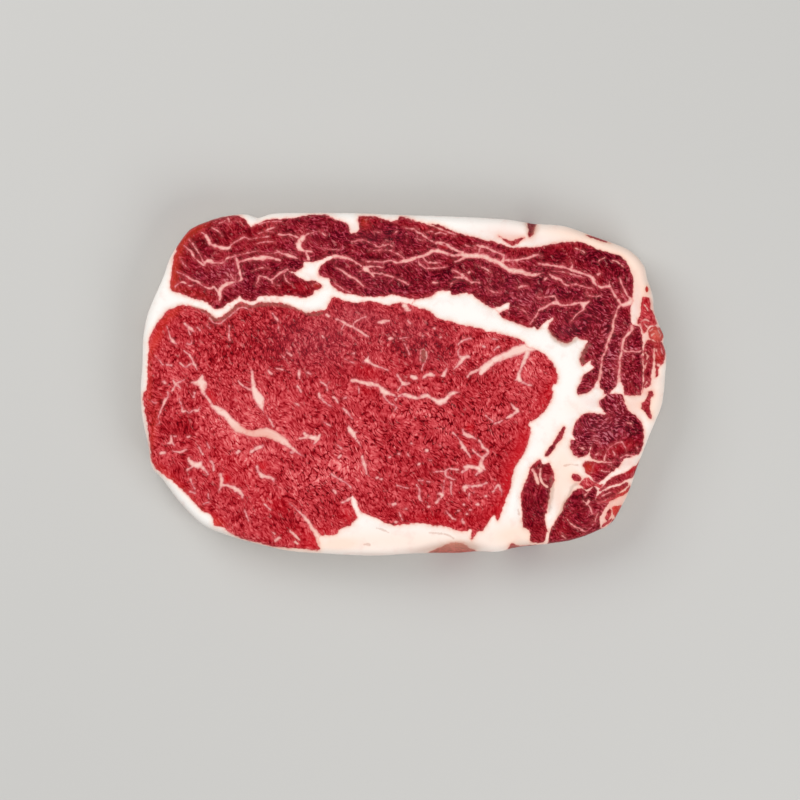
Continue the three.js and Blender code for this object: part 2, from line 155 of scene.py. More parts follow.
        (74.8, -26.5), (75.2, -28), (73.5, -29.4), (71.5, -30.8), (69.8, -32.8), (67.8, -34),
        (65.8, -33.2), (64.8, -31.8), (63.4, -31.2), (62.7, -29.5)]),
    "webbing": dict(tone=0.15, mottle=0.8, outline=[
        (62, -33.4), (63.6, -32.4), (65.4, -33.4), (67.6, -34.6), (69, -34.8), (68.2, -36), (66.6, -35.3),
        (65, -36), (63.4, -36.6), (62, -35.2), (60.8, -34.6)]),
    "island": dict(tone=0.45, mottle=0.2, outline=[
        (58.3, -31.5), (59, -30.9), (60.3, -31.2), (61.5, -32.4), (61.7, -33.4), (60, -33.6),
        (58.8, -33.2)]),
    "edgeStrip": dict(tone=0.55, mottle=0.4, outline=[
        (82.6, -26.4), (80.3, -28.5), (77, -30.5), (74, -31.8), (71.5, -33.2), (69.5, -35.2), (68, -37),
        (70, -36.3), (72, -35.3), (74, -34.6), (76, -34), (78, -33), (80, -32), (81.4, -30), (82.4, -27.6)]),
    "lowerStrip": dict(tone=0.6, mottle=0.4, outline=[
        (66.6, -39.6), (68, -37.8), (70, -36.8), (72, -36), (74.3, -35.2), (77.6, -34.1), (78, -34.9),
        (75, -37.4), (73, -38.9), (71, -39.9), (69, -40.5), (67, -40.8)]),
    "flank": dict(tone=0.8, mottle=0.5, outline=[
        (51, -50.8), (53, -47.5), (54.8, -44), (56.5, -40.5), (58, -38.2), (59.5, -36.8), (61.5, -36),
        (62.8, -36.5), (63.5, -37.5), (64.7, -36.8), (66, -35.6), (67, -36.2), (67.1, -38), (66.5, -40),
        (68, -41), (71.2, -41.2), (70, -43), (68.5, -45.5), (68, -47.5), (68.4, -49.2), (68.6, -51.4),
        (64, -53.2), (60, -54.8), (56, -56), (52, -56.6), (50.3, -56.5), (50.6, -53.5)]),
    "corner": dict(tone=0, mottle=0.8, outline=[
        (72.3, -42.6), (74, -42), (75.9, -42.3), (75.2, -44.5), (74.2, -46.6), (73, -45.6), (72.5, -44)]),
    "cornerRed": dict(tone=0.3, mottle=0.2, outline=[
        (69.8, -46.5), (70.6, -44.6), (71.6, -43.2), (72.3, -44.6), (71.6, -46.4), (70.6, -47.6)]),
    "cornerThread": dict(tone=0.15, mottle=0.8, outline=[
        (68.8, -49.6), (69.4, -48.3), (70.4, -47.9), (71.5, -46.9), (72.5, -46.4), (71.9, -47.8),
        (70.7, -48.8), (69.6, -49.7)]),
    "cornerTip": dict(tone=0, mottle=0.8, outline=[
        (71, -49.2), (72, -48.2), (73.2, -46.8), (73.9, -47), (73, -48.4), (72, -49.4)]),
    "rayUpper": dict(tone=0.3, mottle=0.8, outline=[
        (68.5, -41), (70.5, -39.9), (73, -38.8), (76, -37.3), (78.6, -35.4), (79.2, -36), (77, -37.9),
        (74, -39.6), (71.5, -40.7), (69.5, -41.3)]),
    "nick": dict(tone=0.8, mottle=0.2, outline=[
        (43.3, 57), (43.5, 53.5), (43.2, 51.4), (43.8, 50.8), (44.7, 51.3), (45.5, 53.2), (47, 57)]),
    "ledge": dict(tone=0.15, mottle=0.3, outline=[
        (9, -59.5), (10.5, -57.8), (13, -56.7), (16.5, -55.2), (19.5, -54.9), (21.6, -55.6),
        (23.4, -56.9), (25, -57.6), (26, -59.5)]),
    "shelf": dict(tone=0.5, mottle=0.2, outline=[
        (36.3, -58.5), (36.6, -56.6), (37.2, -55.4), (38.2, -55.3), (39.5, -56), (42, -56.3), (44, -56),
        (47, -56), (49.6, -56.2), (49.6, -58)]),
    "lens": dict(tone=0.5, mottle=0, outline=[
        (33, 51.1), (35, 50.2), (37.5, 49.3), (39, 49.8), (42, 50.4), (40.5, 49), (39, 48), (37.5, 47.9),
        (36, 48.9)]),
    "sideSplit": dict(tone=0.35, mottle=0.2, outline=[
        (63.4, 51.3), (66, 51), (69, 50), (71.8, 48.8), (69, 49.2), (66, 50.1)]),
}

# streaks of fat inside the muscles: (x, y, width) in mm along each
capStreaks = [
    [(-69.5, 52.3, 0.7), (-68.5, 51.4, 0.9), (-67.2, 50, 1.6), (-66.5, 48.4, 1), (-64.5, 47.6, 1),
     (-61.5, 46.7, 1.3), (-60, 47.2, 0.9), (-59, 48.3, 0.6), (-57, 49.5, 0.5), (-55.3, 50.7, 0.4)],
    [(-55, 50.8, 0.4), (-52, 50, 0.3)],
    [(-75.7, 47.8, 0.4), (-73, 45.4, 0.7), (-72, 43.8, 0.9), (-71, 42.6, 0.8), (-69, 41.3, 0.9),
     (-68, 42.3, 1.5), (-66.5, 42.6, 1.2), (-65.5, 41.8, 0.8), (-63.5, 41.8, 0.6), (-62, 42, 0.5),
     (-60.5, 43.4, 0.6), (-57, 44.3, 0.5), (-53.5, 45.6, 0.4)],
    [(-74, 50, 0.3), (-72.3, 47.8, 0.5), (-71, 46, 0.5), (-69, 42.5, 0.5)],
    [(-57.6, 43.3, 0.8), (-57.2, 41.8, 1.1), (-56.9, 40, 1), (-56.2, 37.8, 1), (-55.6, 36, 0.8),
     (-57, 35.4, 0.6), (-58.5, 35.3, 0.8), (-60, 34.6, 1.2), (-61.4, 34.2, 1.7), (-62.8, 33, 1.5),
     (-63.3, 31.5, 1.5), (-63.2, 30.2, 1.5), (-63.4, 29, 0.9)],
    [(-41, 38.2, 0.4), (-40.4, 36, 0.6), (-38.6, 34.4, 0.4)],
    [(-31.3, 34.2, 0.3), (-30, 34.9, 0.4), (-29, 34.4, 0.3)],
    [(-57.2, 42, 0.5), (-55, 42.5, 0.6), (-53.5, 43, 0.8), (-52, 43.3, 1.2), (-50, 43.2, 1.6),
     (-48, 43.6, 1.6), (-46, 43.7, 1), (-44, 43.2, 0.7), (-42.5, 42.6, 0.4)],
    [(-78.5, 39, 0.3), (-76.5, 38, 0.5), (-74.5, 37, 0.6), (-73, 36, 0.7), (-71, 35.3, 0.9),
     (-69.5, 34.2, 0.7), (-68, 33.3, 0.7), (-66.8, 32.8, 0.9), (-65.5, 33.4, 0.8), (-64.5, 32.5, 0.8),
     (-63.6, 31.3, 1)],
    [(-78.5, 33.5, 0.5), (-77.5, 34.5, 0.5), (-76, 35.2, 0.5), (-73.5, 33.9, 0.4), (-72.5, 34.3, 0.3)],
    [(-76.7, 42.7, 0.3), (-75.7, 41.2, 0.4), (-75, 40.3, 0.3)], [(-60.6, 57.2, 0.5), (-60, 56, 0.6)],
    [(-57.8, 56.5, 0.6), (-57.2, 56, 0.4)], [(-48, 52.5, 0.4), (-46.5, 53.3, 0.6), (-43.7, 54.5, 0.5)],
    [(-43, 51.8, 0.5), (-41, 51.4, 0.7), (-39, 51.6, 0.6), (-37.5, 51, 0.8), (-36.3, 50.5, 0.9)],
    [(-34, 51, 0.5), (-32.5, 52, 0.5), (-30.7, 52.5, 0.4)],
    [(-29, 52.8, 0.3), (-27.5, 51.7, 0.4), (-26.5, 51.2, 0.4)],
    [(-34.7, 50.5, 2.1), (-35.7, 49, 2), (-36, 47.5, 2), (-35.3, 46.3, 1.6), (-34, 45.9, 1),
     (-31.5, 45.7, 0.6)],
    [(-43.5, 46.2, 0.5), (-42, 45.1, 0.7), (-40.5, 44.6, 1), (-39, 44.3, 1.3), (-37.5, 43.8, 0.9),
     (-36.3, 43.5, 0.5)],
    [(-40, 39.4, 1.1), (-42, 38.5, 0.9), (-44, 37, 0.8), (-45.5, 35.9, 0.8), (-47, 36.6, 0.7),
     (-49.5, 37, 0.6), (-50, 35.5, 0.5), (-51, 34, 0.4)],
    [(-45.3, 35.9, 0.5), (-45, 34.7, 0.4), (-42.5, 33.8, 0.4)],
    [(-32.5, 43, 1.2), (-33, 44.4, 0.8), (-33.6, 45.6, 0.5)],
    [(-23.3, 40.3, 0.5), (-21.5, 39.3, 0.7), (-18.5, 37.3, 0.8), (-17, 36.7, 0.7), (-15.7, 35.5, 0.6),
     (-13.5, 33.7, 0.5)],
    [(-24, 44, 1.4), (-20.5, 43.8, 1.2), (-18.5, 43.2, 0.9), (-17, 42.3, 0.8), (-14, 40.5, 1),
     (-12.8, 39.7, 2.2), (-11.8, 38.9, 1.2), (-10, 37, 0.6)],
    [(-13, 40.6, 0.6), (-9, 40.5, 0.5), (-7, 40.1, 0.3)], [(-14, 39.3, 0.6), (-15, 38.6, 0.4)],
    [(-11, 38.4, 0.5), (-7, 37.9, 0.5), (-4.5, 37.2, 0.5), (-2, 36.3, 0.5), (2, 34.2, 0.3)],
    [(-12, 46, 0.3), (-7, 46.2, 0.5), (-4, 45.9, 0.5), (-1, 44.5, 0.5), (0.3, 43.5, 0.5)],
    [(-27, 46.6, 0.4), (-22, 46.2, 0.3)],
    [(0.5, 54.1, 0.3), (2, 53.6, 0.4), (4, 53.6, 0.4), (5, 52.3, 0.5), (6.5, 51.9, 0.6), (8.2, 50.6, 0.6),
     (9.3, 49.8, 0.6), (11, 49, 0.7), (14.5, 48.5, 0.8), (16, 47.5, 0.9), (19, 46, 0.9), (20.7, 45.2, 1)],
    [(-10, 42.2, 0.4), (-7, 42, 0.5), (-4, 42.7, 0.7), (-2, 42.1, 0.8), (1, 42.7, 1.4), (3, 43, 1.3),
     (7, 44.3, 1), (8.5, 45, 1.3), (10, 45.7, 1.6), (12, 45.8, 1.5), (16, 44.8, 1), (18, 44.3, 1.1),
     (20, 44.6, 1.6), (22, 44.3, 2), (24, 44.2, 1.6), (26, 44.4, 1.8), (28, 44, 2), (30, 43, 1.5),
     (33.5, 41.8, 2), (35, 40.6, 1.8), (37, 39.4, 1.8), (41, 38.7, 1.9), (43, 38, 1.6), (45, 37.8, 1.4),
     (47, 38, 0.9), (48.2, 38.2, 0.5)],
    [(21.5, 44, 1), (19, 42.5, 0.8), (18, 42.3, 0.5)],
    [(25.5, 47.8, 0.7), (27, 47.5, 1.2), (28.5, 47.3, 1), (30, 46.4, 0.7), (33.5, 45, 0.8), (35, 44.2, 1),
     (34.5, 42.5, 1.6)],
    [(26.8, 47.2, 0.5), (26.4, 46, 0.4), (26.5, 44.8, 0.7)],
    [(35, 42.8, 0.9), (38.5, 42.8, 0.8), (43, 43.4, 0.7), (45, 44.2, 0.7), (47, 44.6, 0.6),
     (48, 44, 0.5)],
    [(5.3, 43.3, 0.5), (5.5, 42, 0.5), (7.5, 40.2, 0.5), (9, 40, 0.5), (15, 40.3, 0.35)],
    [(7, 43.5, 0.8), (8.4, 41.9, 0.7), (9.7, 41.8, 0.7), (12, 41.7, 0.4)],
    [(17, 39.3, 0.5), (20, 38, 0.9), (21, 37.2, 1.2), (23, 35.3, 0.8), (25, 35.1, 0.5),
     (26.5, 34.7, 0.6)],
    [(17.8, 36.6, 0.6), (19.5, 36.8, 0.8), (21, 36.6, 0.8)], [(16.5, 34.5, 0.4), (18.5, 35.8, 0.5)],
    [(22.6, 38.4, 1), (23, 38.8, 0.8)], [(10.2, 35, 0.5), (12, 35.1, 0.6)],
    [(-2.5, 52.4, 0.7), (-2, 52.6, 0.6)],
    [(47, 41.5, 0.6), (49, 41.3, 0.8), (52, 41, 0.8), (54.5, 40.5, 0.9), (57, 39.7, 0.9),
     (63.5, 37.5, 0.9), (65.3, 36.7, 1), (66, 35.3, 1.3), (67, 34.2, 1), (68.5, 33.5, 0.9),
     (70.5, 33.7, 0.9), (71.5, 33.5, 1), (72.5, 32, 0.9), (74.5, 28.8, 1), (75.2, 27.5, 1.2),
     (76.5, 27.3, 1.7), (78, 28, 1.9), (79.3, 28.6, 2.2)],
    [(58.2, 40, 0.6), (58.4, 41.3, 0.5), (57.8, 42.3, 0.4)], [(67.3, 37.6, 0.9), (67.8, 38, 0.7)],
    [(71.2, 34, 0.6), (71.3, 35, 0.4)],
    [(75, 36.5, 0.4), (75.8, 34.3, 0.5), (77.7, 30.5, 0.6), (78.6, 29.6, 0.7)],
    [(59.5, 46.8, 0.3), (61.5, 46, 0.4), (63, 45.2, 0.3)],
    [(50.5, 38, 0.6), (51.5, 37.2, 0.8), (53, 36.3, 1.2), (54.5, 36, 0.9), (55.3, 34.8, 0.7),
     (57, 34, 0.6), (58.5, 34, 0.4)],
    [(59.5, 34.4, 0.7), (60.1, 34.6, 0.6)], [(49, 36, 0.6), (49.6, 36.6, 0.5)],
    [(40, 33.2, 0.6), (41, 34, 0.9), (43, 33.8, 0.5)],
    [(44, 20.8, 0.4), (45, 22.3, 0.5), (46.3, 24, 0.6), (46.8, 25.3, 0.6), (48, 26, 0.7), (51, 27.5, 0.8),
     (53.2, 28, 1.3), (54.5, 27.3, 0.9), (58, 27.3, 0.8), (59.5, 27.7, 0.8), (61, 28, 0.9),
     (62.3, 27.6, 1.9), (63.6, 28, 1.1), (64.4, 28.5, 0.5)],
    [(62.3, 27, 1.4), (62.2, 25.8, 0.7), (60, 24, 0.5), (58, 21.5, 0.4)],
    [(53, 28.5, 0.8), (52.7, 30.1, 0.5), (50, 30, 0.4), (46.6, 30.1, 0.4), (46.7, 31, 0.4)],
    [(67.6, 42, 0.3), (68.4, 42.8, 0.4), (69.6, 43.5, 0.3)],
    [(75, 27.2, 1), (74, 25.5, 0.8), (73.4, 23.5, 0.8), (72.7, 21.5, 0.8), (72.6, 18.5, 0.8),
     (71.5, 16.5, 1), (70.7, 14, 1), (70, 11.5, 0.8), (69, 9, 0.7), (68.6, 6.5, 0.7), (68.3, 4, 0.8),
     (67.5, 1, 1), (66.7, -1.5, 1.5)],
    [(79.2, 20, 1.2), (78.9, 18.3, 0.9), (77.7, 17, 1), (76.7, 15.5, 1), (75.9, 13, 1.2),
     (75.5, 10.5, 0.9), (75.1, 8, 0.9), (74.8, 5, 0.9), (74.7, 2.5, 1.1), (74.6, 0, 1.6)],
    [(75.7, 12, 0.8), (77, 11.3, 0.8), (79, 11.2, 0.7), (81.5, 11, 0.6), (82.6, 11.6, 0.5)],
    [(82, 20.5, 0.7), (82.6, 18.5, 0.7), (83.2, 16.5, 0.7)],
    [(-17.5, 49.1, 0.2), (-14, 49.6, 0.25), (-11.5, 48.8, 0.25), (-7.9, 47.5, 0.4), (-5.6, 49.5, 0.2)],
    [(-7.6, 47.5, 0.4), (-5, 48.2, 0.5), (-3.4, 47.6, 0.4)],
    [(-14, 42.7, 0.3), (-12, 42.2, 0.5), (-9.8, 42.2, 0.4)],
    [(-23.6, 34.7, 0.4), (-20.7, 32.8, 0.5), (-17.8, 31.4, 0.4)],
    [(-10.1, 52.5, 0.2), (-7.6, 52.3, 0.25)],
    [(8.1, 52.3, 0.3), (9.6, 52.8, 0.4), (11, 52, 0.4), (12.6, 52.4, 0.4), (14.9, 51.6, 0.4)],
    [(4.6, 50.4, 0.3), (6.9, 49.4, 0.3)], [(10.7, 48.7, 0.4), (13, 48.2, 0.4), (15.5, 47.3, 0.4)],
    [(3, 56.8, 0.4), (6, 56, 0.4), (10, 54.8, 0.5), (14, 53, 0.5), (18.5, 51.4, 0.4)],
    [(-49.8, 55.2, 0.3), (-46.2, 56, 0.4), (-42, 56.2, 0.3)],
    [(-49.8, 52, 0.4), (-47, 52.6, 0.3), (-44.6, 52.4, 0.4)],
    [(-53.4, 50, 0.3), (-49.8, 50.5, 0.4), (-46.2, 51, 0.3)],
    [(-50.4, 48.4, 0.3), (-47, 49.1, 0.4), (-44.2, 49, 0.3)],
    [(-58.3, 44.4, 0.4), (-54.7, 45, 0.4), (-49.8, 46, 0.3)], [(-47.4, 44.9, 0.3), (-42.6, 45.6, 0.4)],
    [(-63.4, 55.6, 0.4), (-61.6, 56.5, 0.4)], [(-59.6, 38, 0.4), (-58.4, 35.9, 0.4)],
    [(-66, 54, 0.3), (-63.5, 52.6, 0.4), (-62.4, 51, 0.3)],
    [(-52, 39, 0.3), (-49, 40.2, 0.4), (-46.5, 40, 0.3)],
    [(21.7, 48, 0.4), (24, 47, 0.5), (26.5, 46.2, 0.4)],
    [(52, 38.9, 0.4), (55.6, 38.6, 0.3), (59.6, 37.7, 0.4), (62.5, 36.6, 0.4)],
    [(57.8, 34.7, 0.4), (61, 34, 0.4), (65, 33, 0.4)],
    [(63, 31, 0.3), (66, 30.2, 0.4), (68.4, 30.6, 0.3)],
    [(25, 41, 0.3), (28, 40, 0.4), (30.4, 38.4, 0.3)],
    [(29, 33, 0.3), (31, 31.8, 0.4), (33.5, 31.6, 0.3)],
    [(76.3, 40.4, 0.3), (74.6, 42, 0.4), (72.6, 42.6, 0.3)],
    [(39.6, 26.4, 0.4), (42, 25, 0.4), (43.4, 23, 0.3)],
]
rimStreaks = [
    [(82.6, 10, 0.2), (82.9, 6, 0.2), (83, 1, 0.3), (82.8, -3, 0.6)],
    [(83.2, 27.3, 0.4), (84, 26.6, 0.4), (84.6, 25.2, 0.5)], [(86.2, 27.6, 0.5), (86.6, 25.6, 0.6)],
    [(82.6, 21.3, 0.4), (83.8, 22.2, 0.5), (85.2, 21.4, 0.4)], [(84.4, 19.8, 0.6), (83.4, 20.6, 0.4)],
    [(85.6, 18.3, 0.4), (86.4, 19, 0.4)], [(86.8, 17.3, 0.4), (86.2, 16.6, 0.4)],
    [(88.2, 18.6, 0.35), (88.7, 17.6, 0.35)], [(89.3, 17.1, 0.35), (88.8, 16.2, 0.3)],
    [(83.9, 10.8, 0.4), (84.6, 9.6, 0.5), (84.2, 8.6, 0.4)], [(84.3, 7.2, 0.5), (83.7, 5.6, 0.5)],
    [(84.3, 0.6, 0.5), (83.7, -0.8, 0.5)], [(88.5, 6.4, 0.9), (89.2, 5.9, 0.9)],
    [(87.6, 12, 0.4), (88.2, 10, 0.4)], [(89.2, 12.3, 0.5), (89.9, 10.4, 0.4)],
    [(87, 12.2, 0.3), (86.9, 10.4, 0.45), (86.8, 8.6, 0.6)], [(77.5, -13.5, 0.5), (79, -13.8, 0.7)],
    [(44.8, -29.5, 0.9), (45.7, -31.5, 1.1), (46.3, -33.2, 1.2), (46.8, -34.6, 0.7)],
    [(47.6, -29.3, 0.5), (47.3, -31.5, 0.6), (48, -34, 0.7), (49.8, -35.6, 0.6)],
    [(70, -34, 0.7), (72, -32, 1), (74.5, -30, 1.5), (77, -28.5, 2.2), (80, -27, 2), (82.3, -25.6, 1.6)],
    [(66.4, -27.6, 0.4), (65.8, -28.6, 0.3), (65.6, -30.2, 0.2)],
    [(68.6, -30, 0.5), (70, -30.4, 0.4), (71.2, -30.2, 0.4)], [(71, -27.9, 0.6), (72.2, -28.1, 0.6)],
    [(69.3, -26.9, 0.5), (71.4, -27.2, 0.6), (73, -26.9, 0.4)], [(61, -22, 0.4), (62.6, -22.6, 0.5)],
    [(70, -36.7, 0.6), (73, -35.2, 0.6), (76, -34.2, 0.6), (78.4, -33, 0.5)],
    [(68, -39.2, 0.4), (70, -38.2, 0.4), (72, -37.6, 0.3)], [(63.4, -41.6, 0.6), (64.1, -40.6, 0.9)],
    [(63, -38.6, 0.5), (64, -37.7, 0.7)], [(66.6, -47.6, 0.5), (66.8, -46, 0.5), (67.4, -44.8, 0.4)],
    [(62.5, -40.5, 0.3), (64.5, -42.5, 0.4), (65.5, -45, 0.3)], [(55, -52.6, 0.4), (56.2, -53.6, 0.5)],
    [(61.5, -50.5, 0.4), (63.5, -51.2, 0.4)], [(57, -47, 0.3), (59, -49, 0.4), (62, -50.3, 0.3)],
    [(70.6, -22.5, 0.4), (70, -24.5, 0.5), (69.6, -26.4, 0.5)], [(72.6, -23, 0.4), (73.3, -24.6, 0.4)],
    [(73.6, -20.4, 0.3), (75.5, -20, 0.3), (76.6, -21.5, 0.4), (77.3, -23.4, 0.2)],
    [(73.8, -20.3, 0.3), (71.8, -21.6, 0.4), (70.4, -23.4, 0.3)], [(80.6, -21.4, 0.2), (81.4, -23, 0.3)],
    [(75, -25.8, 0.4), (77, -24.8, 0.5), (79.5, -25.2, 0.4)], [(66.8, -24.6, 0.4), (68, -23.4, 0.4)],
]
